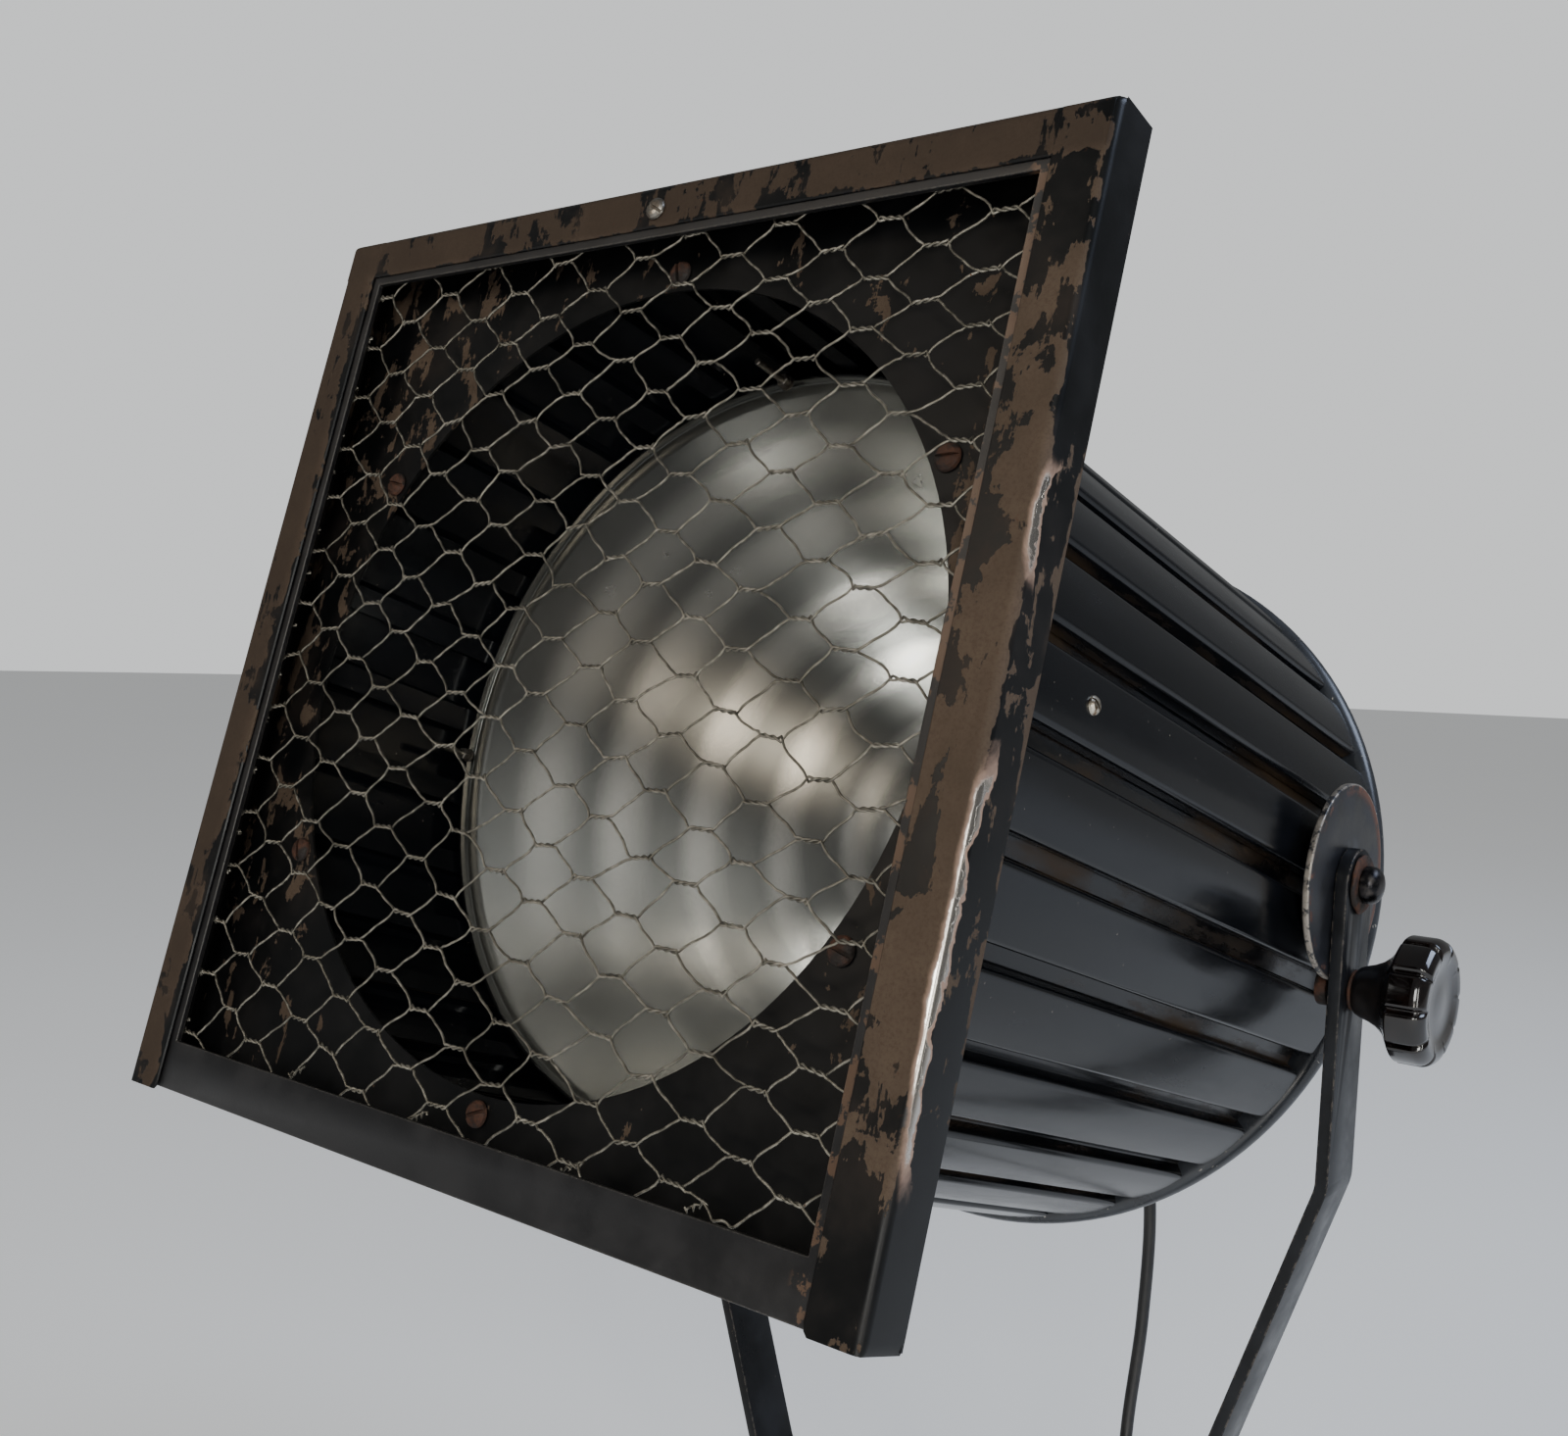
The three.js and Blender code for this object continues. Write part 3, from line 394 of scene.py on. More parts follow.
# old black stove enamel over brown primer: nearly black and satin, scuffed grey in
# places, flaked off in hard-edged patches to matt brown, and worn to bright steel on the fold
tray_paint, tree, shader = new_finish("worn_stove_enamel", "#15161a", 0.42)
shader.inputs["Specular IOR Level"].default_value = 0.2
place = head_place(tree)
split = node(tree, "SeparateXYZ", {0: place}, out=None)
across, ahead, upward = split.outputs[0], split.outputs[1], split.outputs[2]


flakes = node(tree, "TexNoise", {
    "Vector": node(tree, "Mapping", {"Vector": place, "Scale": (1.15, 1, 0.62)}), "Scale": 62,
    "Detail": 11, "Roughness": 0.62, "Distortion": 0.35})
shreds = node(tree, "TexNoise", {
    "Vector": node(tree, "Mapping", {"Vector": place, "Scale": (0.25, 1, 1.6)}), "Scale": 260,
    "Detail": 4, "Roughness": 0.5})
scrapes = node(tree, "TexNoise", {
    "Vector": node(tree, "Mapping", {"Vector": place, "Scale": (3.0, 1, 0.12)}), "Scale": 300,
    "Detail": 3})
right_lip = node(tree, "MapRange", [across, 0.166, 0.176], **EASED)
left_lip = node(tree, "MapRange", [across, -0.176, -0.186], **EASED)
top_lip = node(tree, "MapRange", [upward, 0.172, 0.178], **EASED)
on_front = node(tree, "MapRange", [ahead, -0.3245, -0.3262], **EASED)
plate_left = node(tree, "Math", [
    node(tree, "MapRange", [across, -0.03, -0.15], **EASED),
    node(tree, "Math", [1.0, on_front], **MINUS)], **TIMES)
plate_right = node(tree, "Math", [
    node(tree, "MapRange", [across, 0.14, 0.17], **EASED),
    node(tree, "MapRange", [ahead, -0.309, -0.306], **EASED)], **TIMES)
low_down = node(tree, "MapRange", [upward, -0.085, -0.16], **EASED)
high_up = node(tree, "MapRange", [upward, 0.105, 0.16], **EASED)
wear = node(tree, "Math", [right_lip, on_front], **TIMES)
wear = node(tree, "Math", [
    wear, node(tree, "Math", [0.105, node(tree, "Math", [high_up, 0.08], **TIMES)], **MINUS)], **TIMES)
wear = node(tree, "Math", [wear, node(tree, "Math", [low_down, 0.05], **TIMES)], **MINUS)
toward_fold = node(tree, "Math", [
    node(tree, "MapRange", [across, 0.179, 0.196], **EASED),
    node(tree, "Math", [
        node(tree, "MapRange", [upward, 0.13, 0.05], **EASED),
        node(tree, "MapRange", [upward, -0.17, -0.12], **EASED)], **TIMES)], **TIMES)
on_left = node(tree, "Math", [left_lip, on_front], **TIMES)
on_top = node(tree, "Math", [top_lip, on_front], **TIMES)
side_wall = node(tree, "MapRange", [
    node(tree, "Math", [across], operation="ABSOLUTE"), 0.1988, 0.1996], **EASED)
for mask, amount in ((toward_fold, 0.16), (on_left, 0.225), (on_top, 0.185), (plate_left, 0.06),
                     (plate_right, 0.1), (side_wall, -0.13)):
    wear = node(tree, "Math", [wear, node(tree, "Math", [mask, amount], **TIMES)], **PLUS)
level = node(tree, "Math", [flakes, wear], **PLUS)
for noise, amount in ((shreds, 0.11), (scrapes, 0.10)):
    off_middle = node(tree, "Math", [noise, 0.5], **MINUS)
    level = node(tree, "Math", [level, node(tree, "Math", [off_middle, amount], **TIMES)], **PLUS)
flaked = node(tree, "MapRange", [level, 0.612, 0.622], **EASED)
clouds = node(tree, "TexNoise", {"Vector": place, "Scale": 26, "Detail": 6, "Roughness": 0.6})
specks = node(tree, "TexNoise", {"Vector": place, "Scale": 900, "Detail": 4, "Roughness": 0.7})
primer = node(tree, "Mix", {0: clouds, 6: "#2c241d", 7: "#5b4d40"}, **COLOURS)
primer = node(tree, "Mix", {
    0: node(tree, "MapRange", [specks, 0.4, 0.75, 0.0, 0.7], **EASED), 6: primer,
    7: "#3d3026"}, **COLOURS)
# the primer on the left and top lips is mixed darker brown
darker_left_top_primer = node(tree, "Math", [node(tree, "Math", [left_lip, top_lip], **LARGER), 0.55], **TIMES)
primer = node(tree, "Mix", {0: darker_left_top_primer, 6: primer, 7: "#2a211b"}, **COLOURS)
enamel = node(tree, "Mix", {
    0: node(tree, "MapRange", [clouds, 0.35, 0.75], **EASED), 6: "#090a0b", 7: "#131314"}, **COLOURS)
enamel = node(tree, "Mix", {
    0: node(tree, "Math", [
        node(tree, "MapRange", [clouds, 0.45, 0.68], **EASED),
        node(tree, "Math", [wear, 4.2], **TIMES)], **TIMES),
    6: enamel, 7: "#2e251e"}, **COLOURS)
colour = node(tree, "Mix", {0: flaked, 6: enamel, 7: primer}, **COLOURS)
# the pressed fold of the right side: flaked edge in pale primer round bright steel
fold_edge = node(tree, "TexNoise", {"Vector": place, "Scale": 95, "Detail": 6})
wander = node(tree, "Math", [
    ahead, node(tree, "Math", [node(tree, "Math", [fold_edge, 0.5], **MINUS), 0.014], **TIMES)], **PLUS)
waver = node(tree, "Math", [
    across, node(tree, "Math", [node(tree, "Math", [flakes, 0.5], **MINUS), 0.006], **TIMES)], **PLUS)
fold_run = node(tree, "Math", [
    node(tree, "MapRange", [upward, -0.002, -0.06], **EASED),
    node(tree, "MapRange", [upward, -0.178, -0.12], **EASED)], **TIMES)
fold_run = node(tree, "Math", [
    fold_run,
    node(tree, "Math", [
        node(tree, "MapRange", [upward, 0.022, 0.045], **EASED),
        node(tree, "MapRange", [upward, 0.078, 0.05], **EASED)], **TIMES)], **LARGER)
tapered = node(tree, "Math", [node(tree, "Math", [1.0, fold_run], **MINUS), 0.0042], **TIMES)
waver = node(tree, "Math", [waver, tapered], **MINUS)
wander = node(tree, "Math", [wander, node(tree, "Math", [tapered, -1.2], **TIMES)], **PLUS)
fold = node(tree, "Math", [
    node(tree, "MapRange", [waver, 0.1964, 0.1984], **EASED),
    node(tree, "MapRange", [wander, -0.3238, -0.3241], **EASED)], **TIMES)
pale = node(tree, "Math", [fold, node(tree, "MapRange", [fold_run, 0.05, 0.3], **EASED)], **TIMES)
fold_core = node(tree, "Math", [
    node(tree, "MapRange", [waver, 0.1979, 0.1985], **EASED),
    node(tree, "MapRange", [wander, -0.3250, -0.3256], **EASED)], **TIMES)
bright = node(tree, "Math", [fold_core, node(tree, "MapRange", [fold_run, 0.1, 0.5], **EASED)], **TIMES)
colour = node(tree, "Mix", {0: pale, 6: colour, 7: "#8d7668"}, **COLOURS)
colour = node(tree, "Mix", {0: bright, 6: colour, 7: "#b9b3ab"}, **COLOURS)
# rust spots, only where the enamel is worn
rust_spots = node(tree, "TexNoise", {"Vector": place, "Scale": 150, "Detail": 8, "Roughness": 0.7})
rusty = node(tree, "Math", [
    node(tree, "MapRange", [rust_spots, 0.66, 0.72], **EASED),
    node(tree, "Math", [wear, 5.0], **TIMES)], **TIMES)
colour = node(tree, "Mix", {0: rusty, 6: colour, 7: "#472a1c"}, **COLOURS)
tree.links.new(colour, shader.inputs["Base Color"])
tree.links.new(bright, shader.inputs["Metallic"])
rough = node(tree, "Mix", {
    0: flaked, 2: node(tree, "MapRange", [clouds, 0.3, 0.75, 0.3, 0.48], **EASED), 3: 0.74})
rough = node(tree, "Mix", {0: bright, 2: rough, 3: 0.2})
tree.links.new(rough, shader.inputs["Roughness"])
height = node(tree, "Math", [node(tree, "Math", [specks, 0.18], **TIMES), flaked], **MINUS)
node(tree, "Bump", {
    "Height": height, "Strength": 0.55, "Distance": 0.00018}, to=shader.inputs["Normal"])


def runner(name, direction, start, end, lip, corner):
    """One folded runner: side wall and front lip with a rounded fold, from start to end."""
    outline = [(0, PLATE_Y), (0, FACE_Y + FOLD_R)]
    outline += [(FOLD_R - FOLD_R * math.cos(math.radians(a)), FACE_Y + FOLD_R - FOLD_R * math.sin(math.radians(a)))
                for a in range(10, 91, 10)]
    outline += [(lip - 0.5, FACE_Y), (lip, FACE_Y + 0.5), (lip, FACE_Y + 1.0), (lip - 0.3, FACE_Y + 1.2)]
    inner = FOLD_R - 1.3
    outline += [(FOLD_R - inner * math.cos(math.radians(a)), FACE_Y + FOLD_R - inner * math.sin(math.radians(a)))
                for a in range(90, -1, -15)]
    outline += [(1.5, PLATE_Y)]
    vertices, faces = [], []
    stations = [
        (start, 2, 0), (start + corner * 0.4, 0.5, 0),
        (start + corner, 0, 0)] if corner else [(start, 0, 0)]
    stations += [(start + (end - FOLD_R - start) * k / 24, 0, 0) for k in range(1, 25)]
    # the runner's top end is rounded over like the fold of the runner that it meets
    rounding = range(15, 91, 15) if corner else (90,)
    stations += [(end - FOLD_R + FOLD_R * math.sin(math.radians(a)), 0,
                  FOLD_R * (1 - math.cos(math.radians(a))) if corner else 0) for a in rounding]
    for s, ease, recess in stations:
        for d, y in outline:
            d = max(d, ease * 0.4) if d < 2 else d - (ease if d > lip - 3 else 0)
            vertices.append(
                direction(d, y + recess if y < FACE_Y + FOLD_R else max(y, FACE_Y + FOLD_R + 0.01), s))
    n = len(outline)
    for i in range(len(stations) - 1):
        for k in range(n):
            faces.append((i * n + k, i * n + (k + 1) % n, (i + 1) * n + (k + 1) % n, (i + 1) * n + k))
    faces += [list(range(n)), [(len(stations) - 1) * n + k for k in range(n)]]
    return vertices, faces


def back_plate():
    """The flat plate: a ring of faces from the round hole out to the square edge, 1.2 mm thick."""
    count = 128
    vertices, faces = [], []
    for y in (PLATE_Y - 1.2, PLATE_Y):
        for ring in (0, 1):
            for k in range(count):
                a = math.tau * k / count
                if ring == 0:
                    x, z = HOLE_R * math.cos(a), HOLE_R * math.sin(a) + HOLE_Z
                else:
                    reach = HALF / max(abs(math.cos(a)), abs(math.sin(a)))
                    x, z = reach * math.cos(a), reach * math.sin(a) + HOLE_Z
                vertices.append(on_head(x * (0.9999 if ring else 1), y, z))
    for k in range(count):
        n = (k + 1) % count
        faces += [(k, n, count + n, count + k), (2 * count + k, 3 * count + k, 3 * count + n, 2 * count + n),
                  (k, 2 * count + k, 2 * count + n, n), (count + k, count + n, 3 * count + n, 3 * count + k)]
    return vertices, faces


tray_vertices, tray_faces = [], []
for vertices, faces in (
        back_plate(),
        runner("left", lambda d, y, s: on_head(-HALF + d, y, s), BOTTOM_Z - 1, TOP_Z, LIP, 4),
        runner("right", lambda d, y, s: on_head(HALF - d, y, s), BOTTOM_Z - 1, TOP_Z, LIP, 4),
        runner("top", lambda d, y, s: on_head(s, y + 0.12, TOP_Z - d - 0.05), -HALF + 2, HALF - 2, TOP_LIP, 0)):
    base = len(tray_vertices)
    tray_vertices += vertices
    tray_faces += [[base + i for i in face] for face in faces]
front_tray = solid_mesh("folded_tray", tray_vertices, tray_faces, tray_paint, 32)
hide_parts("front_tray")
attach(front_tray, "lantern")

# Screws: six rusty slotted panhead screws hold the plate to the barrel.
# A brighter slotted screw in the top lip pinches the guard so that it can't slide out.
rust, tree, shader = new_finish("rusted_steel", "#563626", 0.82, 0.25)
place = node(tree, "TexCoord", out="Object")
scale = node(tree, "TexNoise", {"Vector": place, "Scale": 420, "Detail": 7, "Roughness": 0.68})
blotch = node(tree, "TexNoise", {"Vector": place, "Scale": 120, "Detail": 4})
tone = node(tree, "Mix", {
    0: node(tree, "MapRange", [scale, 0.3, 0.7], **EASED), 6: "#2a1b14", 7: "#553729"}, **COLOURS)
tone = node(tree, "Mix", {
    0: node(tree, "MapRange", [blotch, 0.45, 0.6], **EASED), 6: tone, 7: "#221c19"}, **COLOURS)
tree.links.new(tone, shader.inputs["Base Color"])
node(tree, "MapRange", [scale, 0.35, 0.7, 0.62, 0.95], **EASED, to=shader.inputs["Roughness"])
node(tree, "Bump", {"Height": scale, "Strength": 0.8, "Distance": 0.0006}, to=shader.inputs["Normal"])

# dull zinc-plated or plain steel: grey, slightly warm, with patchy stains
steel, tree, shader = new_finish("dulled_steel", "#86837c", 0.38, 1.0)
place = node(tree, "TexCoord", out="Object")
stain = node(tree, "TexNoise", {"Vector": place, "Scale": 240, "Detail": 6, "Roughness": 0.62})
node(tree, "Mix", {
    0: node(tree, "MapRange", [stain, 0.38, 0.72], **EASED), 6: "#908d86",
    7: "#675e55"}, **COLOURS, to=shader.inputs["Base Color"])
node(tree, "MapRange", [stain, 0.3, 0.75, 0.26, 0.62], **EASED, to=shader.inputs["Roughness"])
node(tree, "Bump", {"Height": stain, "Strength": 0.25, "Distance": 0.0003}, to=shader.inputs["Normal"])


def slotted_head(radius, height, shank, length):
    """A domed head with a slot, and its shank, about the y axis with the face under the head at 0."""
    shell = bmesh.new()
    rings = [(radius * 0.4, -height), (radius * 0.72, -height * 0.86), (radius * 0.93, -height * 0.5),
             (radius, -height * 0.12), (radius * 0.97, 0), (shank, 0), (shank, length)]
    half_slot = radius * 0.13
    columns = 9
    lines = []
    for r, y in rings:
        ring = []
        for k in range(4 * columns):
            a = math.tau * (k + 0.5) / (4 * columns)
            ring.append(shell.verts.new((r * math.cos(a), y, r * math.sin(a))))
        lines.append(ring)
    for a, b in zip(lines, lines[1:]):
        for k in range(len(a)):
            shell.faces.new((a[k], a[(k + 1) % len(a)], b[(k + 1) % len(a)], b[k]))
    shell.faces.new(lines[0])
    shell.faces.new(lines[-1][::-1])
    for side in (-half_slot, half_slot):
        bmesh.ops.bisect_plane(shell, geom=shell.verts[:] + shell.edges[:] + shell.faces[:],
                               plane_co=(0, 0, side), plane_no=(0, 0, 1), dist=1e-5)
    floor_y = -height * 0.38
    for v in shell.verts:
        if abs(v.co.z) < half_slot * 0.9 and v.co.y < floor_y:
            v.co.y = floor_y
    top = [f for f in shell.faces if all(abs(v.co.z) <= half_slot + 1e-4 for v in f.verts)
           and all(v.co.y < -height * 0.3 for v in f.verts)]
    out = bmesh.ops.extrude_face_region(shell, geom=top)
    moved = [v for v in out["geom"] if isinstance(v, bmesh.types.BMVert)]
    bmesh.ops.delete(shell, geom=top, context="FACES")
    for v in moved:
        v.co.y = max(v.co.y, floor_y)
    bmesh.ops.recalc_face_normals(shell, faces=shell.faces)
    # corners and faces are put in order of place, so that the mesh is the same each time it is made
    corners = sorted(shell.verts, key=lambda v: v.co[:])
    order = {corner: number for number, corner in enumerate(corners)}
    faces = []
    for face in shell.faces:
        ring = [order[v] for v in face.verts]
        first = ring.index(min(ring))
        faces.append(ring[first:] + ring[:first])
    mesh = bpy.data.meshes.new("slotted_head")
    mesh.from_pydata([v.co for v in corners], [], sorted(faces))
    shell.free()
    return mesh


def socket_named(tree, name):
    return next(s.identifier for s in tree.interface.items_tree if s.name == name)


def named_inputs(tree, **sockets):
    """Opens a Geometry Nodes tree's named inputs and gives its group input and output nodes."""
    tree.interface.new_socket("Geometry", in_out="INPUT", socket_type="NodeSocketGeometry")
    for name, (kind, value) in sockets.items():
        socket = tree.interface.new_socket(
            name.replace("_", " "), in_out="INPUT", socket_type=f"NodeSocket{kind}")
        if value is not None:
            socket.default_value = value
    tree.interface.new_socket("Geometry", in_out="OUTPUT", socket_type="NodeSocketGeometry")
    return tree.nodes.new("NodeGroupInput").outputs, tree.nodes.new("NodeGroupOutput")


def grown(name, base, tree, values):
    """Runs a Geometry Nodes tree on a base mesh and gives back the plain mesh it makes."""
    seed_object = link_object(name + "_base", base)
    growth = seed_object.modifiers.new("growth", "NODES")
    growth.node_group = tree
    for key, value in values.items():
        growth[socket_named(tree, key)] = value
    shape = bpy.data.meshes.new_from_object(seed_object.evaluated_get(bpy.context.evaluated_depsgraph_get()))
    seed_object.modifiers.remove(growth)
    bpy.data.objects.remove(seed_object)
    shape.name = name
    return link_object(name, shape)


def set_on_head(obj):
    """Takes a mesh made in millimetres on the level head to its real place."""
    for v in obj.data.vertices:
        v.co = on_head(*v.co)
    obj.data.update()


screw_ring = bpy.data.node_groups.new("screws_on_a_circle", "GeometryNodeTree")
given, made = named_inputs(screw_ring, Screw=("Object", None), Count=("Int", 6), Circle_radius=("Float", 171.5),
                           Seat=("Float", 0.0), Seed=("Int", 7), Finish=("Material", None))
circle = node(screw_ring, "GeometryNodeMeshCircle", {
    "Vertices": given["Count"], "Radius": given["Circle radius"]})
flat = node(screw_ring, "GeometryNodeTransform", {
    "Geometry": circle, "Rotation": (math.pi / 2, math.pi / 6, 0)})
turn = node(screw_ring, "FunctionNodeRandomValue", {
    0: (0, 0, 0), 1: (0, math.tau, 0), "Seed": given["Seed"]}, data_type="FLOAT_VECTOR")
screw = node(screw_ring, "GeometryNodeObjectInfo", {"Object": given["Screw"]}, out="Geometry")
placed = node(screw_ring, "GeometryNodeInstanceOnPoints", {
    "Points": flat, "Instance": screw, "Rotation": turn})
real = node(screw_ring, "GeometryNodeRealizeInstances", {0: placed})
moved = node(screw_ring, "GeometryNodeTransform", {"Geometry": real, "Translation": (0, 0, HOLE_Z)})
seated = node(screw_ring, "GeometryNodeSetPosition", {
    "Geometry": moved, "Offset": node(screw_ring, "CombineXYZ", {1: given["Seat"]})})
painted = node(screw_ring, "GeometryNodeSetMaterial", {"Geometry": seated, "Material": given["Finish"]})
screw_ring.links.new(painted, made.inputs[0])

one_screw = link_object("one_plate_screw", slotted_head(5.4, 2.8, 2.0, 6.0))
plate_screws = grown("plate_screws", bpy.data.meshes.new("empty"), screw_ring,
                     {"Screw": one_screw, "Seat": PLATE_Y - 1.5, "Finish": rust})
bpy.data.objects.remove(one_screw)
set_on_head(plate_screws)
ease_edges(plate_screws, 0.00018, 1)
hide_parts(*[f"plate_screw_{k}" for k in range(1, 7)])
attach(plate_screws, "lantern")

pinch_head = slotted_head(4.6, 2.4, 2, 1.5)
pinch_head.transform(Matrix.Translation((0, FACE_Y - 0.3, TOP_Z - 11.7)) @ Matrix.Rotation(0.5, 4, "Y"))
pinch_head.materials.append(steel)
pinch_screw = link_object("pinch_screw_head", pinch_head)
set_on_head(pinch_screw)
ease_edges(pinch_screw, 0.00018, 1)
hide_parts("pinch_screw")
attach(pinch_screw, "lantern")

# Slats: thirty pressed steel strips make the barrel, each crowned a little with both
# edges turned in. A foot on one edge runs under the next strip, so air passes and light doesn't.
SLATS, SLAT_HALF, SLAT_DEEP, SLAT_FOOT = 30, 14.6, 8.4, 10.2
SLAT_START, SLAT_END, CREST_FRONT, CREST_REAR = -305.2, 60, 183.8, 189.2

# black gloss enamel, sprayed: deep black with slight orange peel, a film of grey dust
# in the grooves and a few pale chips scattered over the strips
slat_paint, tree, shader = new_finish("black_gloss_enamel", "#0c0d10", 0.24, ior=1.5)
shader.inputs["Coat Weight"].default_value = 0.08
shader.inputs["Specular IOR Level"].default_value = 0.17
shader.inputs["Coat Roughness"].default_value = 0.1
place = head_place(tree)
depth = node(tree, "Attribute", attribute_name="groove_depth", out="Fac")
tone_of_slat = node(tree, "Attribute", attribute_name="slat_tone", out="Fac")
long_stain = node(tree, "TexNoise", {
    "Vector": node(tree, "Mapping", {"Vector": place, "Scale": (1, 0.22, 1)}), "Scale": 46, "Detail": 6,
    "Roughness": 0.62})
speckle = node(tree, "TexNoise", {"Vector": place, "Scale": 620, "Detail": 3})
chips = node(tree, "TexNoise", {"Vector": place, "Scale": 330, "Detail": 5, "Roughness": 0.6})
tone = node(tree, "Mix", {0: tone_of_slat, 6: "#07080a", 7: "#0c0e12"}, **COLOURS)
tone = node(tree, "Mix", {
    0: node(tree, "Math", [node(tree, "MapRange", [long_stain, 0.48, 0.75], **EASED), 0.45], **TIMES),
    6: tone, 7: "#141519"}, **COLOURS)
in_groove = node(tree, "MapRange", [depth, 0.35, 0.9], **EASED)
dusty = node(tree, "Math", [
    in_groove, node(tree, "MapRange", [long_stain, 0.44, 0.66], **EASED)], **TIMES)
tone = node(tree, "Mix", {0: dusty, 6: tone, 7: "#33281c"}, **COLOURS)
chipped = node(tree, "Math", [
    node(tree, "MapRange", [chips, 0.705, 0.715], **EASED),
    node(tree, "MapRange", [speckle, 0.45, 0.6], **EASED)], **TIMES)
tone = node(tree, "Mix", {0: chipped, 6: tone, 7: "#6c655c"}, **COLOURS)
tree.links.new(tone, shader.inputs["Base Color"])
rough = node(tree, "Math", [
    node(tree, "MapRange", [long_stain, 0.35, 0.75, 0.16, 0.29], **EASED),
    node(tree, "Math", [dusty, 0.4], **TIMES)], **PLUS)
tree.links.new(rough, shader.inputs["Roughness"])
peel = node(tree, "TexNoise", {"Vector": place, "Scale": 210, "Detail": 2})
dents = node(tree, "TexNoise", {
    "Vector": node(tree, "Mapping", {"Vector": place, "Scale": (1, 0.35, 1)}), "Scale": 17,
    "Detail": 2})
relief = node(tree, "Math", [node(tree, "Math", [peel, 0.05], **TIMES), dents], **PLUS)
node(tree, "Bump", {"Height": relief, "Strength": 0.35, "Distance": 0.0012}, to=shader.inputs["Normal"])


def slat_section():
    """Half-millimetre detail round one strip: crown, 2.6 mm folds, turned-in walls and the foot."""
    outer = [(-SLAT_HALF, -SLAT_DEEP), (-SLAT_HALF, -3.6)]
    fold = 2.6
    for a in range(0, 91, 15):
        outer.append((-SLAT_HALF + fold - fold * math.cos(math.radians(a)),
                      -1.15 - fold + fold * math.sin(math.radians(a))))
    outer += [(u, -0.28 - 0.87 * (u / 12.0) ** 2) for u in (-9, -5, -2, 2, 5, 9)]
    for a in range(90, -1, -15):
        outer.append((SLAT_HALF - fold + fold * math.cos(math.radians(a)),
                      -1.15 - fold + fold * math.sin(math.radians(a))))
    outer += [(SLAT_HALF, -SLAT_DEEP), (SLAT_HALF + 0.5, -SLAT_DEEP - 0.6),
              (SLAT_HALF + SLAT_FOOT, -SLAT_DEEP - 2.1)]
    inner = [(SLAT_HALF + SLAT_FOOT, -SLAT_DEEP - 3.1), (SLAT_HALF - 1.1, -SLAT_DEEP - 1.5),
             (SLAT_HALF - 1.1, -4.4), (SLAT_HALF - 2.9, -2.3), (0, -1.5), (-SLAT_HALF + 2.9, -2.3),
             (-SLAT_HALF + 1.1, -4.4), (-SLAT_HALF + 1.1, -SLAT_DEEP)]
    return outer + inner


def one_slat():
    section = slat_section()
    n = len(section)
    mesh = bpy.data.meshes.new("one_slat")
    vertices, faces, depths = [], [], []
    outside = len(section) - 8
    rows = 14
    for i in range(rows + 1):
        run = i / rows
        y = SLAT_START + (SLAT_END - SLAT_START) * run
        crest = CREST_FRONT + (CREST_REAR - CREST_FRONT) * run
        for k, (u, w) in enumerate(section):
            vertices.append((crest + w, y, u))
            depths.append(min(1.0, max(0.0, -w / SLAT_DEEP)) if k < outside else 0.0)
    for i in range(rows):
        for k in range(n):
            m = (k + 1) % n
            faces.append((i * n + k, (i + 1) * n + k, (i + 1) * n + m, i * n + m))
    faces += [list(range(n)), [rows * n + k for k in range(n)][::-1]]
    mesh.from_pydata(vertices, [], faces)
    mesh.attributes.new("groove_depth", "FLOAT", "POINT").data.foreach_set("value", depths)
    shell = bmesh.new()
    shell.from_mesh(mesh)
    bmesh.ops.recalc_face_normals(shell, faces=shell.faces)
    shell.to_mesh(mesh)
    shell.free()
    mesh.shade_smooth()
    mesh.set_sharp_from_angle(angle=math.radians(38))
    return mesh


barrel = bpy.data.node_groups.new("strips_round_a_barrel", "GeometryNodeTree")
given, made = named_inputs(
    barrel, Strip=("Object", None), Count=("Int", SLATS), First_angle=("Float", math.radians(6)),
    Twist_error=("Float", 0.0035), Seed=("Int", 3), Finish=("Material", None))
strip = node(barrel, "GeometryNodeObjectInfo", {"Object": given["Strip"]}, out="Geometry")
spots = node(barrel, "GeometryNodePoints", {"Count": given["Count"]})
number = node(barrel, "GeometryNodeInputIndex")
step = node(barrel, "Math", [math.tau, given["Count"]], operation="DIVIDE")
angle = node(barrel, "Math", [number, step, given["First angle"]], operation="MULTIPLY_ADD")
error = node(barrel, "FunctionNodeRandomValue", {
    2: -0.0035, 3: given["Twist error"], "ID": number, "Seed": given["Seed"]}, out=1, data_type="FLOAT")
angle = node(barrel, "Math", [angle, node(barrel, "Math", [error, 0.5], **TIMES)], **PLUS)
spin = node(barrel, "CombineXYZ", {1: node(barrel, "Math", [angle, -1.0], **TIMES)})
placed = node(barrel, "GeometryNodeInstanceOnPoints", {
    "Points": spots, "Instance": strip, "Rotation": spin})
shade = node(barrel, "FunctionNodeRandomValue", {
    2: 0.0, 3: 1.0, "ID": number, "Seed": 11}, out=1, data_type="FLOAT")
toned = node(barrel, "GeometryNodeStoreNamedAttribute", {
    "Geometry": placed, "Name": "slat_tone", "Value": shade}, data_type="FLOAT", domain="INSTANCE")
real = node(barrel, "GeometryNodeRealizeInstances", {0: toned})
centred = node(barrel, "GeometryNodeTransform", {"Geometry": real, "Translation": (0, 0, HOLE_Z)})
painted = node(barrel, "GeometryNodeSetMaterial", {"Geometry": centred, "Material": given["Finish"]})
barrel.links.new(painted, made.inputs[0])

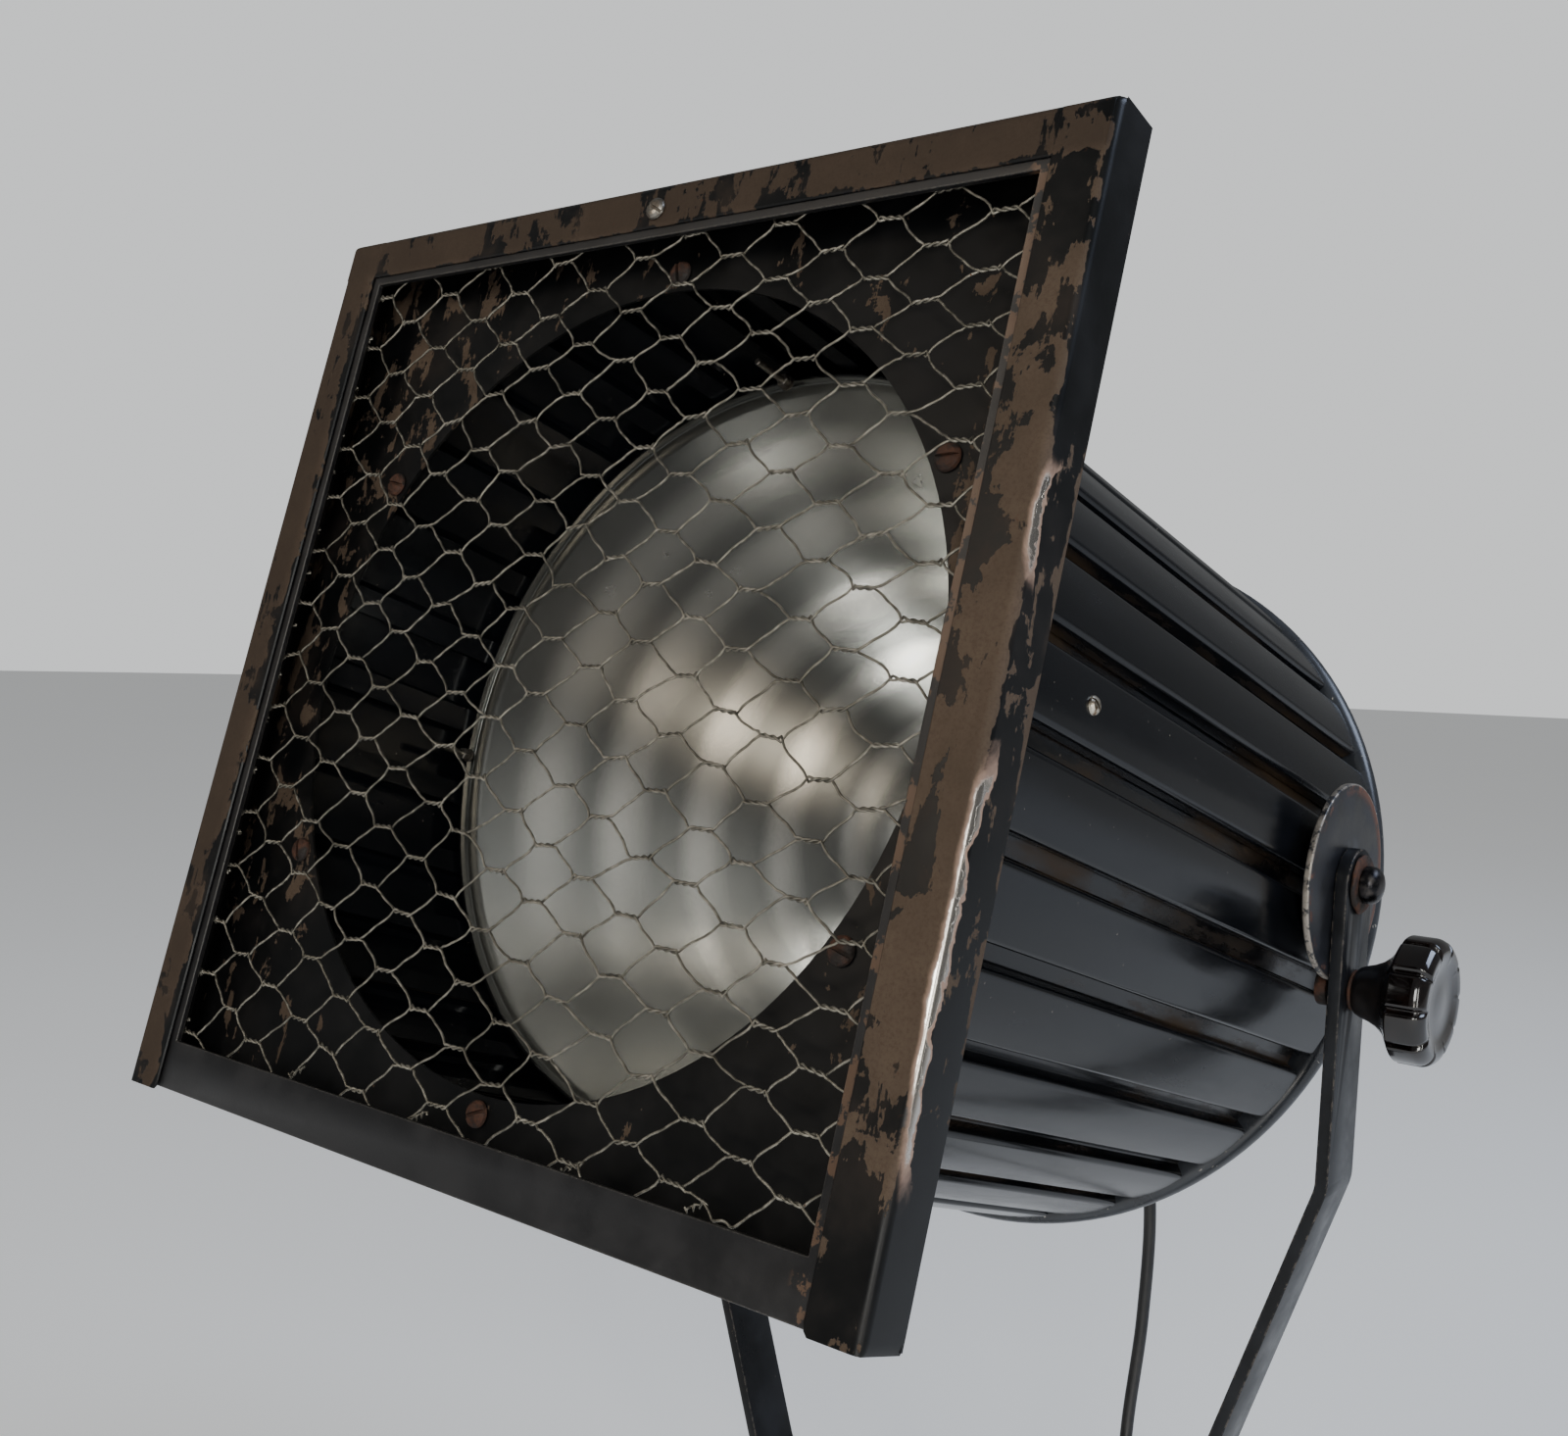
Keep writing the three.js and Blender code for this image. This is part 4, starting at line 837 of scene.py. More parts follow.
strip_object = link_object("strip", one_slat())
slats = grown("barrel_slats", bpy.data.meshes.new("empty"), barrel, {
    "Strip": strip_object, "Finish": slat_paint})
bpy.data.objects.remove(strip_object)
set_on_head(slats)
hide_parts(*[f"slat_{k:02d}" for k in range(1, SLATS + 1)])
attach(slats, "lantern")

# Strip screw: a small plated steel screw through one strip near the front plate.
# It holds the reflector's bracket inside and has lost its black paint. Its colour is painted far paler than the
# other steel, a painted highlight where it sits in shade.
# painted highlight: a much paler base colour than the dulled steel, so the shaded screw shows bright
pale_steel_painted_glint, tree, shader = new_finish("plated_steel_painted_glint", "#cfc8b8", 0.3, 1.0)
tarnish = node(tree, "TexNoise", {
    "Vector": node(tree, "TexCoord", out="Object"), "Scale": 420, "Detail": 6})
node(tree, "Mix", {
    0: node(tree, "MapRange", [tarnish, 0.42, 0.62], **EASED), 6: "#d2cbbb",
    7: "#6f5a44"}, **COLOURS, to=shader.inputs["Base Color"])
strip_screw = link_object("strip_screw", slotted_head(3.7, 2.3, 1.5, 3.4))
strip_screw.data.transform(Matrix.Rotation(math.radians(90), 4, "Z") @ Matrix.Rotation(0.6, 4, "Y"))
strip_screw.data.transform(Matrix.Translation((CREST_FRONT + 0.4, 0, 0)))
strip_screw.data.transform(Matrix.Translation((0, -238, HOLE_Z)) @ Matrix.Rotation(math.radians(-6.2), 4, "Y"))
strip_screw.data.materials.append(pale_steel_painted_glint)
set_on_head(strip_screw)
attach(strip_screw, "lantern")

# Rear cap: a spun steel dish whose rolled rim stands just outside the strips' ends.
# It is sprayed a black-grey gloss, greyer than the strips, with small pale nicks.
cap_paint, tree, shader = new_finish("grey_black_gloss_enamel", "#2c2e31", 0.25, ior=1.5)
place = head_place(tree)
clouds = node(tree, "TexNoise", {"Vector": place, "Scale": 38, "Detail": 6, "Roughness": 0.6})
nicks = node(tree, "TexNoise", {"Vector": place, "Scale": 380, "Detail": 4})
tone = node(tree, "Mix", {
    0: node(tree, "MapRange", [clouds, 0.3, 0.75], **EASED), 6: "#24262a", 7: "#313439"}, **COLOURS)
tone = node(tree, "Mix", {
    0: node(tree, "MapRange", [nicks, 0.69, 0.71], **EASED), 6: tone, 7: "#8f8b84"}, **COLOURS)
tree.links.new(tone, shader.inputs["Base Color"])
node(tree, "MapRange", [clouds, 0.3, 0.8, 0.24, 0.36], **EASED, to=shader.inputs["Roughness"])
node(tree, "Bump", {"Height": clouds, "Strength": 0.25, "Distance": 0.0003}, to=shader.inputs["Normal"])

SKIRT_R, RIM_R, RIM_Y, BEAD = 176.88, 185.4, 70, 6.2
cap_profile = [(SKIRT_R, 46), (SKIRT_R, RIM_Y - BEAD + 0.6), (RIM_R - 3, RIM_Y - BEAD + 0.2)]
cap_profile += bend(RIM_R, RIM_Y, BEAD, -98, 90, 18)
cap_profile += [(179, 78.2), (172, 79.0), (165, 80.4), (157, 84.2), (149, 88.6), (141, 91.6), (132, 93.8),
                (110, 97), (96, 98.5), (80, 99.2), (24, 99.2), (24, 98), (80, 98), (110, 95.6), (141, 90.2),
                (157, 82.6), (164, 78.6), (172, 77.4), (SKIRT_R - 1.8, 73), (SKIRT_R - 1.8, 46)]
rear_cap = turned("spun_rear_cap", cap_profile, "y", on_head, cap_paint, 144, (0, 0, HOLE_Z), 30)
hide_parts("rear_cap")
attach(rear_cap, "lantern")

# Lamp box: a folded steel terminal box screwed behind the cap, in the same black.
# The flex enters it from below, and its corners are a little rubbed.
frame_paint, tree, shader = new_finish("black_satin_enamel", "#131417", 0.36, ior=1.5)
shader.inputs["Specular IOR Level"].default_value = 0.25
place = node(tree, "TexCoord", out="Object")
clouds = node(tree, "TexNoise", {"Vector": place, "Scale": 34, "Detail": 6, "Roughness": 0.62})
chips = node(tree, "TexNoise", {"Vector": place, "Scale": 420, "Detail": 6, "Roughness": 0.62})
eased = node(tree, "Bevel", {"Radius": 0.0013}, samples=4)
edge = node(tree, "VectorMath", {
    0: eased, 1: node(tree, "NewGeometry", out="Normal")}, out="Value", operation="DOT_PRODUCT")
edge = node(tree, "MapRange", [edge, 0.985, 0.9], **EASED)
worn = node(tree, "Math", [edge, node(tree, "MapRange", [chips, 0.5, 0.56], **EASED)], **TIMES)
fleck = node(tree, "MapRange", [chips, 0.715, 0.73], **EASED)
tone = node(tree, "Mix", {
    0: node(tree, "MapRange", [clouds, 0.35, 0.72], **EASED), 6: "#0e0f12", 7: "#1c1e22"}, **COLOURS)
tone = node(tree, "Mix", {0: fleck, 6: tone, 7: "#5d5348"}, **COLOURS)
tone = node(tree, "Mix", {0: worn, 6: tone, 7: "#7e746a"}, **COLOURS)
tree.links.new(tone, shader.inputs["Base Color"])
node(tree, "Mix", {
    0: worn, 2: node(tree, "MapRange", [clouds, 0.3, 0.72, 0.27, 0.46], **EASED),
    3: 0.5}, to=shader.inputs["Roughness"])
scuffs = node(tree, "TexNoise", {
    "Vector": node(tree, "Mapping", {"Vector": place, "Scale": (1, 1, 0.2)}), "Scale": 700,
    "Detail": 3})
relief = node(tree, "Math", [
    node(tree, "Math", [scuffs, 0.3], **TIMES), node(tree, "Math", [worn, fleck], **PLUS)], **MINUS)
node(tree, "Bump", {"Height": relief, "Strength": 0.4, "Distance": 0.00016}, to=shader.inputs["Normal"])
finished_copy("terminal_box", ["lamp_box"], frame_paint, "lantern", 0.0012, 3)

# Reflector: a deep aluminium bowl, spun and left satin, with a rolled front rim.
# The spinning tool leaves fine rings and slow ripples, which bend each reflection into arcs; on the upper left
# these arcs are also painted into its colour as highlights.
spun, tree, shader = new_finish("spun_aluminium", "#c6c7c4", 0.26, 1.0)
place = head_place(tree)
split = node(tree, "SeparateXYZ", {0: place}, out=None)
above = node(tree, "Math", [split.outputs[2], -HOLE_Z / 1000], **PLUS)
out_from_axis = node(tree, "Math", [
    node(tree, "Math", [
        node(tree, "Math", [split.outputs[0], split.outputs[0]], **TIMES),
        node(tree, "Math", [above, above], **TIMES)], **PLUS)], operation="SQRT")
rings = node(tree, "TexNoise", {
    "Vector": node(tree, "CombineXYZ", {0: out_from_axis}), "Scale": 900, "Detail": 5,
    "Roughness": 0.7})
RIPPLES = {44: 0.5, 70: 0.8, 96: 0.95, 120: 0.9, 141: 0.6, 158: 0.3}
smear = node(tree, "TexNoise", {"Vector": place, "Scale": 11, "Detail": 3, "Roughness": 0.5})
spots = node(tree, "TexNoise", {"Vector": place, "Scale": 60, "Detail": 6, "Roughness": 0.55})
tone = node(tree, "Mix", {
    0: node(tree, "MapRange", [smear, 0.35, 0.7], **EASED), 6: "#bfc0bd", 7: "#d6d5d1"}, **COLOURS)
tone = node(tree, "Mix", {
    0: node(tree, "Math", [node(tree, "MapRange", [rings, 0.35, 0.7], **EASED), 0.25], **TIMES),
    6: tone, 7: "#a5a6a4"}, **COLOURS)
tone = node(tree, "Mix", {
    0: node(tree, "Math", [node(tree, "MapRange", [spots, 0.6, 0.75], **EASED), 0.12], **TIMES),
    6: tone, 7: "#8d8d88"}, **COLOURS)
# painted highlight: each ripple's crest is painted brighter and the hollow between crests painted darker,
# strongest on the bowl's upper left, where the reflection arcs lie
painted_arc_highlights = 0.0
for centre in RIPPLES:
    rise = node(tree, "MapRange", [out_from_axis, centre / 1000 - 0.010, centre / 1000], **EASED)
    fall = node(tree, "MapRange", [out_from_axis, centre / 1000 + 0.007, centre / 1000], **EASED)
    painted_arc_highlights = node(tree, "Math", [painted_arc_highlights, node(tree, "Math", [rise, fall], **TIMES)], **LARGER)
arc_highlight_side = node(tree, "Math", [
    node(tree, "MapRange", [split.outputs[0], 0.07, -0.03], **EASED),
    node(tree, "MapRange", [split.outputs[2], -0.13, -0.02], **EASED)], **TIMES)
# painted shade in the hollows between the painted highlight arcs
tone = node(tree, "Mix", {
    0: node(tree, "Math", [
        node(tree, "Math", [1.0, painted_arc_highlights], **MINUS),
        node(tree, "Math", [arc_highlight_side, 0.62], **TIMES)], **TIMES),
    6: tone, 7: "#878886"}, **COLOURS)
# painted highlight along each ripple's crest
tone = node(tree, "Mix", {
    0: node(tree, "Math", [painted_arc_highlights, node(tree, "Math", [arc_highlight_side, 0.8], **TIMES)], **TIMES), 6: tone,
    7: "#f3f1ec"}, **COLOURS)
tree.links.new(tone, shader.inputs["Base Color"])
rough = node(tree, "Math", [
    node(tree, "MapRange", [smear, 0.3, 0.72, 0.21, 0.26], **EASED),
    node(tree, "Math", [node(tree, "MapRange", [spots, 0.55, 0.8], **EASED), 0.04], **TIMES)], **PLUS)
tree.links.new(rough, shader.inputs["Roughness"])
node(tree, "Bump", {"Height": rings, "Strength": 0.2, "Distance": 0.00005}, to=shader.inputs["Normal"])

BOWL_R, BOWL_Y, APEX_Y, BOWL_HOLE = 173, -205, 28, 22


def bowl_depth(r):
    return APEX_Y + (BOWL_Y - APEX_Y) * (r / BOWL_R) ** 2


inside = []
for k in range(91):
    r = BOWL_HOLE + (BOWL_R - 1.4 - BOWL_HOLE) * k / 90
    ripple = sum(height * math.exp(-((r - centre) / 5.2) ** 2) for centre, height in RIPPLES.items())
    inside.append((r, bowl_depth(r) - ripple))
outside = [(r, bowl_depth(r) + 1.2 + 1.2 * (r / BOWL_R) ** 2) for r in
           (BOWL_HOLE + (BOWL_R - 1.4 - BOWL_HOLE) * k / 30 for k in range(30, -1, -1))]
bowl_profile = inside + bend(BOWL_R - 0.6, BOWL_Y - 1, 2.2, 150, -100, 12) + outside
reflector = turned("spun_reflector", bowl_profile, "y", on_head, spun, 160, (0, 0, HOLE_Z), 45)
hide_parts("reflector")
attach(reflector, "lantern")

# Reflector fixings: four studs through lugs on the bowl's rim, each with a washer
# and a plated hexagon nut. Two of them show through the opening on the left.
nut_profile = [
    (0, -24), (1.2, -24), (1.6, -23.5), (1.6, -5.4), (2.7, -5.4), (3.1, -4.8), (3.1, -1.9), (2.7, -1.2),
    (1.6, -1.2), (1.6, -1), (3.3, -1), (3.4, -0.8), (3.4, -0.2), (1.6, 0), (0, 0)]
for number, degrees in enumerate((6, 96, 186, 276), 1):
    a = math.radians(degrees)
    spot = (171.4 * math.cos(a), -208, 171.4 * math.sin(a) + HOLE_Z)
    fixing = turned(
        f"rim_fixing_{number}", nut_profile, "y", on_head, steel, 24, spot, 30,
        wave=lambda i, t: (
            3.1 * (math.cos(math.pi / 6) / math.cos((t % (math.pi / 3)) - math.pi / 6) - 1) * 0.9
            if 4 <= i <= 7 else 0))
    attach(fixing, "lantern")

# Lampholder: glazed ceramic body with the lamp's socket in its front face.
# It stands through the cap and the bowl's open centre.
ceramic, tree, shader = new_finish("glazed_ceramic", "#e4ddcd", 0.3, ior=1.5)
place = node(tree, "TexCoord", out="Object")
craze = node(tree, "TexNoise", {"Vector": place, "Scale": 160, "Detail": 6})
node(tree, "Mix", {
    0: node(tree, "MapRange", [craze, 0.35, 0.7], **EASED), 6: "#e9e3d6",
    7: "#cfc4ae"}, **COLOURS, to=shader.inputs["Base Color"])
node(tree, "MapRange", [craze, 0.3, 0.7, 0.2, 0.42], **EASED, to=shader.inputs["Roughness"])
node(tree, "Bump", {"Height": craze, "Strength": 0.15, "Distance": 0.0004}, to=shader.inputs["Normal"])
finished_copy("ceramic_lampholder", ["lampholder"], ceramic, "lantern", 0.0008)

# Lamp: a clear glass capsule with a pinched foot, its coiled filament on two posts.
# The glass is thin and colourless and faintly greyed by use.
glass, tree, shader = new_finish("clear_glass", "#f4f6f6", 0.03, ior=1.5)
shader.inputs["Transmission Weight"].default_value = 1.0
haze = node(tree, "TexNoise", {
    "Vector": node(tree, "TexCoord", out="Object"), "Scale": 120, "Detail": 4})
node(tree, "MapRange", [haze, 0.4, 0.8, 0.02, 0.14], **EASED, to=shader.inputs["Roughness"])
node(tree, "Mix", {0: haze, 6: "#f6f8f8", 7: "#dde2e2"}, **COLOURS, to=shader.inputs["Base Color"])
lamp_profile = [(0, -40), (1.5, -40), (3, -39.6)] + [
    (4.6, -38.9), (6.4, -37.2), (7.8, -34.6), (8.7, -31.6), (9, -28.6), (9, 9.6)]
lamp_profile += [(8.7, 13), (8.2, 16), (8, 18), (8, 35.7), (0, 35.7)]
capsule = turned("lamp_capsule", lamp_profile, "y", on_head, glass, 48, (0, 0, HOLE_Z), 40)
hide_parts("lamp")
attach(capsule, "lantern")
filament_line = [on_head(0, 8, -3.2 + HOLE_Z), on_head(0, -10, -3.2 + HOLE_Z)]
filament_line += [
    on_head(1.5 * math.cos(0.9 * k), -12 - 0.4 * k / 3, -3.0 + HOLE_Z + 1.5 * math.sin(0.9 * k) + k / 8)
    for k in range(48)]
filament_line += [on_head(0, -10, 3.6 + HOLE_Z), on_head(0, 8, 3.6 + HOLE_Z)]
filament = swept_bar("filament", filament_line, [0.0004] * len(filament_line), 8, steel)
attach(filament, "lantern")

# Guard frame: a flat steel frame, 2.5 mm thick, that slides up behind the runners' lips.
# Only its bottom bar and a sliver of each side show; it was sprayed after the tray.
guard_paint, tree, shader = new_finish("black_satin_spray", "#101012", 0.45, ior=1.5)
place = head_place(tree)
clouds = node(tree, "TexNoise", {"Vector": place, "Scale": 40, "Detail": 6, "Roughness": 0.6})
grit = node(tree, "TexNoise", {"Vector": place, "Scale": 900, "Detail": 3})
eased = node(tree, "Bevel", {"Radius": 0.0009}, samples=4)
edge = node(tree, "VectorMath", {
    0: eased, 1: node(tree, "NewGeometry", out="Normal")}, out="Value", operation="DOT_PRODUCT")
edge = node(tree, "Math", [
    node(tree, "MapRange", [edge, 0.985, 0.88], **EASED),
    node(tree, "MapRange", [grit, 0.4, 0.6, 0.25, 0.8], **EASED)], **TIMES)
across = node(tree, "SeparateXYZ", {0: place})
flakes = node(tree, "TexNoise", {"Vector": place, "Scale": 75, "Detail": 9, "Roughness": 0.62})
side_wear = node(tree, "Math", [
    node(tree, "MapRange", [across, 0.168, 0.173], **EASED),
    node(tree, "MapRange", [flakes, 0.5, 0.52], **EASED)], **TIMES)
tone = node(tree, "Mix", {
    0: node(tree, "MapRange", [clouds, 0.35, 0.75], **EASED), 6: "#0d0d0f", 7: "#18181a"}, **COLOURS)
tone = node(tree, "Mix", {0: side_wear, 6: tone, 7: "#4f3c2e"}, **COLOURS)
tone = node(tree, "Mix", {0: edge, 6: tone, 7: "#6a655e"}, **COLOURS)
tree.links.new(tone, shader.inputs["Base Color"])
node(tree, "MapRange", [clouds, 0.3, 0.75, 0.34, 0.52], **EASED, to=shader.inputs["Roughness"])
node(tree, "Bump", {"Height": grit, "Strength": 0.15, "Distance": 0.0002}, to=shader.inputs["Normal"])
finished_copy("sliding_guard_frame", ["guard_frame"], guard_paint, "guard", 0.0004)

# Wire netting: 1 mm galvanised wires laid side by side and twisted with each
# neighbour in turn, which leaves six-sided cells. It is soldered behind the guard frame.
galvanised, tree, shader = new_finish("galvanised_wire", "#85827a", 0.42, 0.9)
place = node(tree, "TexCoord", out="Object")
spangle = node(tree, "TexNoise", {"Vector": place, "Scale": 330, "Detail": 5, "Roughness": 0.6})
patchy = node(tree, "TexNoise", {"Vector": place, "Scale": 24, "Detail": 4})
tone = node(tree, "Mix", {
    0: node(tree, "MapRange", [spangle, 0.35, 0.7], **EASED), 6: "#6c6960", 7: "#a39f94"}, **COLOURS)
tone = node(tree, "Mix", {
    0: node(tree, "Math", [node(tree, "MapRange", [patchy, 0.45, 0.7], **EASED), 0.5], **TIMES),
    6: tone, 7: "#59564c"}, **COLOURS)
tone = node(tree, "Mix", {
    0: node(tree, "MapRange", [spangle, 0.70, 0.76], **EASED), 6: tone, 7: "#5c3a22"}, **COLOURS)
tree.links.new(tone, shader.inputs["Base Color"])
node(tree, "MapRange", [spangle, 0.3, 0.7, 0.34, 0.6], **EASED, to=shader.inputs["Roughness"])
node(tree, "Bump", {"Height": spangle, "Strength": 0.3, "Distance": 0.0003}, to=shader.inputs["Normal"])

COLUMN, ROW, FIRST_X, FIRST_Z, TWIST, WIRE_R, NET_Y = 23.7, 22.9, -4.9, 5.5, 10.5, 0.5, -323.2
NET_X, NET_TOP, NET_LOW = 179.4, 176.6, -189.6
hand = random.Random(41)
knots = {}


def knot(column, half_row):
    """The centre of one twist, a little out of place as hand-stretched netting is."""
    if (column, half_row) not in knots:
        x = FIRST_X + column * COLUMN + hand.gauss(0, 0.9)
        z = FIRST_Z + half_row * ROW / 2
        z = z * (1 - 0.0005 * (x + 20)) + hand.gauss(0, 0.8)
        knots[column, half_row] = (x, z, hand.gauss(0, 0.07), hand.uniform(0, math.tau))
    return knots[column, half_row]


wire_points, wire_edges = [], []


def lay_wire(points):
    points = [p for p in points if abs(p[0]) < NET_X and NET_LOW < p[2] < NET_TOP]
    start = len(wire_points)
    for i, p in enumerate(points):
        if i and abs(p[0] - points[i - 1][0]) + abs(p[2] - points[i - 1][2]) > 9:
            start = len(wire_points)
        elif i:
            wire_edges.append((len(wire_points) - 1, len(wire_points)))
        wire_points.append(p)


for half_row in range(-18, 18):
    line = []
    for column in range(-8, 9):
        even = column % 2 == 0
        # each wire swings between the twist below it and the twist above it
        own = half_row if (half_row % 2 == 0) == even else half_row + 1
        x, z, lean, phase = knot(column, own)
        other = 0 if own == half_row else math.pi
        for k in range(13):
            run = k / 12
            a = phase + other + math.tau * 1.5 * run * (1 if even else -1)
            swell = 1.0 + 1.3 * (abs(run - 0.5) * 2) ** 8
            line.append((x + (run - 0.5) * TWIST, NET_Y + 0.95 * WIRE_R * math.sin(a),
                         z + (run - 0.5) * TWIST * lean + swell * WIRE_R * math.cos(a)))
        following = knot(column + 1, half_row if (half_row % 2 == 0) == (not even) else half_row + 1)
        sag = hand.gauss(0, 0.5)
        swing = hand.gauss(0, 0.25)
        x0, z0 = x + TWIST / 2, z + TWIST / 2 * lean
        x1, z1 = following[0] - TWIST / 2, following[1] - TWIST / 2 * following[2]
        for k in range(1, 6):
            run = k / 6
            bow = math.sin(math.pi * run)
            curve = run + 0.05 * math.sin(math.tau * run)
            line.append((x0 + (x1 - x0) * run + sag * bow * 0.6,
                         NET_Y + swing * bow, z0 + (z1 - z0) * curve + sag * bow))
    lay_wire(line)

# cut ends at the two sides, hooked back round the last wire, and a few loose curls low down
for side in (-1, 1):
    for i in range(16):
        z = -176 + 22.9 * i + hand.gauss(0, 2)
        x = side * (173.4 + hand.uniform(-1.2, 1.5))
        turn = hand.uniform(0.6, 2.2)
        wire_hook = [(side * 179, NET_Y + 0.1, z)]
        wire_hook += [(x + side * 1.1 * (1 - math.cos(turn * k)), NET_Y - 0.25 + 0.1 * k,
                       z + 1.2 * math.sin(turn * k) - 0.2 * k) for k in range(4)]
        lay_wire(wire_hook)
for x0, z0 in ((-96, -184), (-18, -185), (64, -185), (121, -184)):
    curl = hand.uniform(1.4, 2.4)
    up = 1 if z0 < 0 else -1
    lay_wire([(x0 + 0.9 * k + 0.8 * math.sin(k * curl), NET_Y - 0.3 + 0.12 * math.cos(k * 2.0),
               z0 + up * (0.5 * k + 1.1 * math.cos(k * curl))) for k in range(11)])

netting = bpy.data.node_groups.new("wires_from_lines", "GeometryNodeTree")
given, made = named_inputs(netting, Wire_radius=("Float", WIRE_R), Sides=("Int", 6), Finish=("Material", None))
lines = node(netting, "GeometryNodeMeshToCurve", {"Mesh": given["Geometry"]})
profile = node(netting, "GeometryNodeCurvePrimitiveCircle", {
    "Resolution": given["Sides"], "Radius": given["Wire radius"]})
drawn = node(netting, "GeometryNodeCurveToMesh", {
    "Curve": lines, "Profile Curve": profile, "Fill Caps": True})
rounded = node(netting, "GeometryNodeSetShadeSmooth", {"Geometry": drawn})
real = node(netting, "GeometryNodeRealizeInstances", {0: rounded})
painted = node(netting, "GeometryNodeSetMaterial", {"Geometry": real, "Material": given["Finish"]})
netting.links.new(painted, made.inputs[0])
wire_lines = bpy.data.meshes.new("wire_lines")
wire_lines.from_pydata(wire_points, wire_edges, [])
net = grown("twisted_netting", wire_lines, netting, {"Finish": galvanised})
set_on_head(net)
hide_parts("wire_mesh")
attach(net, "guard")

# Fork: one length of 32 by 6 mm flat bar, bent hot below each pivot and at the foot.
# It is brushed with black enamel, which has chipped to pale specks along its edges.
finished_copy("bent_bar_fork", ["yoke_fork"], frame_paint, "yoke", 0.0007)

# Friction disc: a turned plate fixed to the barrel, gripped where the fork's arm
# crosses it. Its rim is rubbed bright, and rusty where the paint is gone.
disc_paint, tree, shader = new_finish("rubbed_black_enamel", "#141519", 0.4, ior=1.5)
place = node(tree, "TexCoord", out="Object")
level = node(tree, "Math", [node(tree, "SeparateXYZ", {0: place}, out=2), TILT_AXIS.z], **MINUS)
ahead = node(tree, "SeparateXYZ", {0: place}, out=1)
from_axis = node(tree, "Math", [
    node(tree, "Math", [
        node(tree, "Math", [level, level], **TIMES),
        node(tree, "Math", [ahead, ahead], **TIMES)], **PLUS)], operation="SQRT")
clouds = node(tree, "TexNoise", {"Vector": place, "Scale": 60, "Detail": 6, "Roughness": 0.62})
flakes = node(tree, "TexNoise", {"Vector": place, "Scale": 210, "Detail": 8, "Roughness": 0.65})
rim = node(tree, "MapRange", [from_axis, 0.0385, 0.0446], **EASED)
rear_side = node(tree, "Math", [node(tree, "MapRange", [ahead, -0.01, 0.03], **EASED), 0.16], **TIMES)
rust_reach = node(tree, "Math", [flakes, rear_side], **PLUS)
rim_rust = node(tree, "Math", [rim, node(tree, "MapRange", [rust_reach, 0.53, 0.6], **EASED)], **TIMES)
rubbed = node(tree, "Math", [
    node(tree, "MapRange", [from_axis, 0.0440, 0.0449], **EASED),
    node(tree, "MapRange", [flakes, 0.4, 0.5], **EASED)], **TIMES)
smear = node(tree, "Math", [
    node(tree, "MapRange", [from_axis, 0.024, 0.012], **EASED),
    node(tree, "MapRange", [clouds, 0.5, 0.62], **EASED)], **TIMES)
tone = node(tree, "Mix", {
    0: node(tree, "MapRange", [clouds, 0.35, 0.72], **EASED), 6: "#0f1014", 7: "#22242a"}, **COLOURS)
tone = node(tree, "Mix", {0: smear, 6: tone, 7: "#4a4c50"}, **COLOURS)
tone = node(tree, "Mix", {0: rim_rust, 6: tone, 7: "#5b3a2b"}, **COLOURS)
tone = node(tree, "Mix", {0: rubbed, 6: tone, 7: "#9a938a"}, **COLOURS)
tree.links.new(tone, shader.inputs["Base Color"])
node(tree, "Math", [rubbed, 0.8], **TIMES, to=shader.inputs["Metallic"])
node(tree, "Math", [
    node(tree, "MapRange", [clouds, 0.3, 0.75, 0.3, 0.5], **EASED),
    node(tree, "Math", [rim_rust, 0.3], **TIMES)], **PLUS, to=shader.inputs["Roughness"])
node(tree, "Bump", {
    "Height": node(tree, "Math", [clouds, rim_rust], **MINUS), "Strength": 0.3,
    "Distance": 0.0003}, to=shader.inputs["Normal"])
ARM_OUT, DISC_R, DISC_IN, DISC_OUT, HUB_IN = 204, 45.2, 194.7, 197.7, 189.6
disc_profile = [(6.3, HUB_IN), (25.4, HUB_IN), (26, HUB_IN + 0.6), (26, DISC_IN), (DISC_R - 0.7, DISC_IN)]
disc_profile += bend(
    DISC_R - 0.7, DISC_IN + 0.7, 0.7, -90, 0, 4) + bend(DISC_R - 0.8, DISC_OUT - 0.8, 0.8, 0, 90, 4)
disc_profile += [(30, DISC_OUT), (6.3, DISC_OUT)]
disc = turned("turned_friction_disc", disc_profile, "x", on_head, disc_paint, 120, sharp=40)
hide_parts("friction_disc")
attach(disc, "lantern")

# Pivot: a rusted washer and a domed bolt on the right, a riveted stud on the left.
# Rain has run down from them, so the washer is thick with orange rust.
washer_profile = [(6.3, ARM_OUT + 0.3), (12.8, ARM_OUT + 0.3), (13.5, ARM_OUT + 0.8), (13.4, ARM_OUT + 1.5),
                  (12.7, ARM_OUT + 2.1), (9.4, ARM_OUT + 2.1), (6.3, ARM_OUT + 2.1)]
orange_rust = rust.copy()
orange_rust.name = "orange_flaking_rust"
for mix in orange_rust.node_tree.nodes:
    if mix.bl_idname == "Mix" and not mix.inputs[6].is_linked:
        mix.inputs[6].default_value = hex_colour("#47261a")
        mix.inputs[7].default_value = hex_colour("#623b2b")
washer = turned("rusted_pivot_washer", washer_profile, "x", on_head, orange_rust, 64,
                wave=lambda i, a: (0.35 * math.sin(5 * a + i) + 0.2 * math.sin(11 * a)) if 1 <= i <= 4 else 0)
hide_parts("pivot_washer")
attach(washer, "lantern")
dark_steel, tree, shader = new_finish("oiled_dark_steel", "#1a1a1c", 0.3, 0.85)
place = node(tree, "TexCoord", out="Object")
stain = node(tree, "TexNoise", {"Vector": place, "Scale": 260, "Detail": 5})
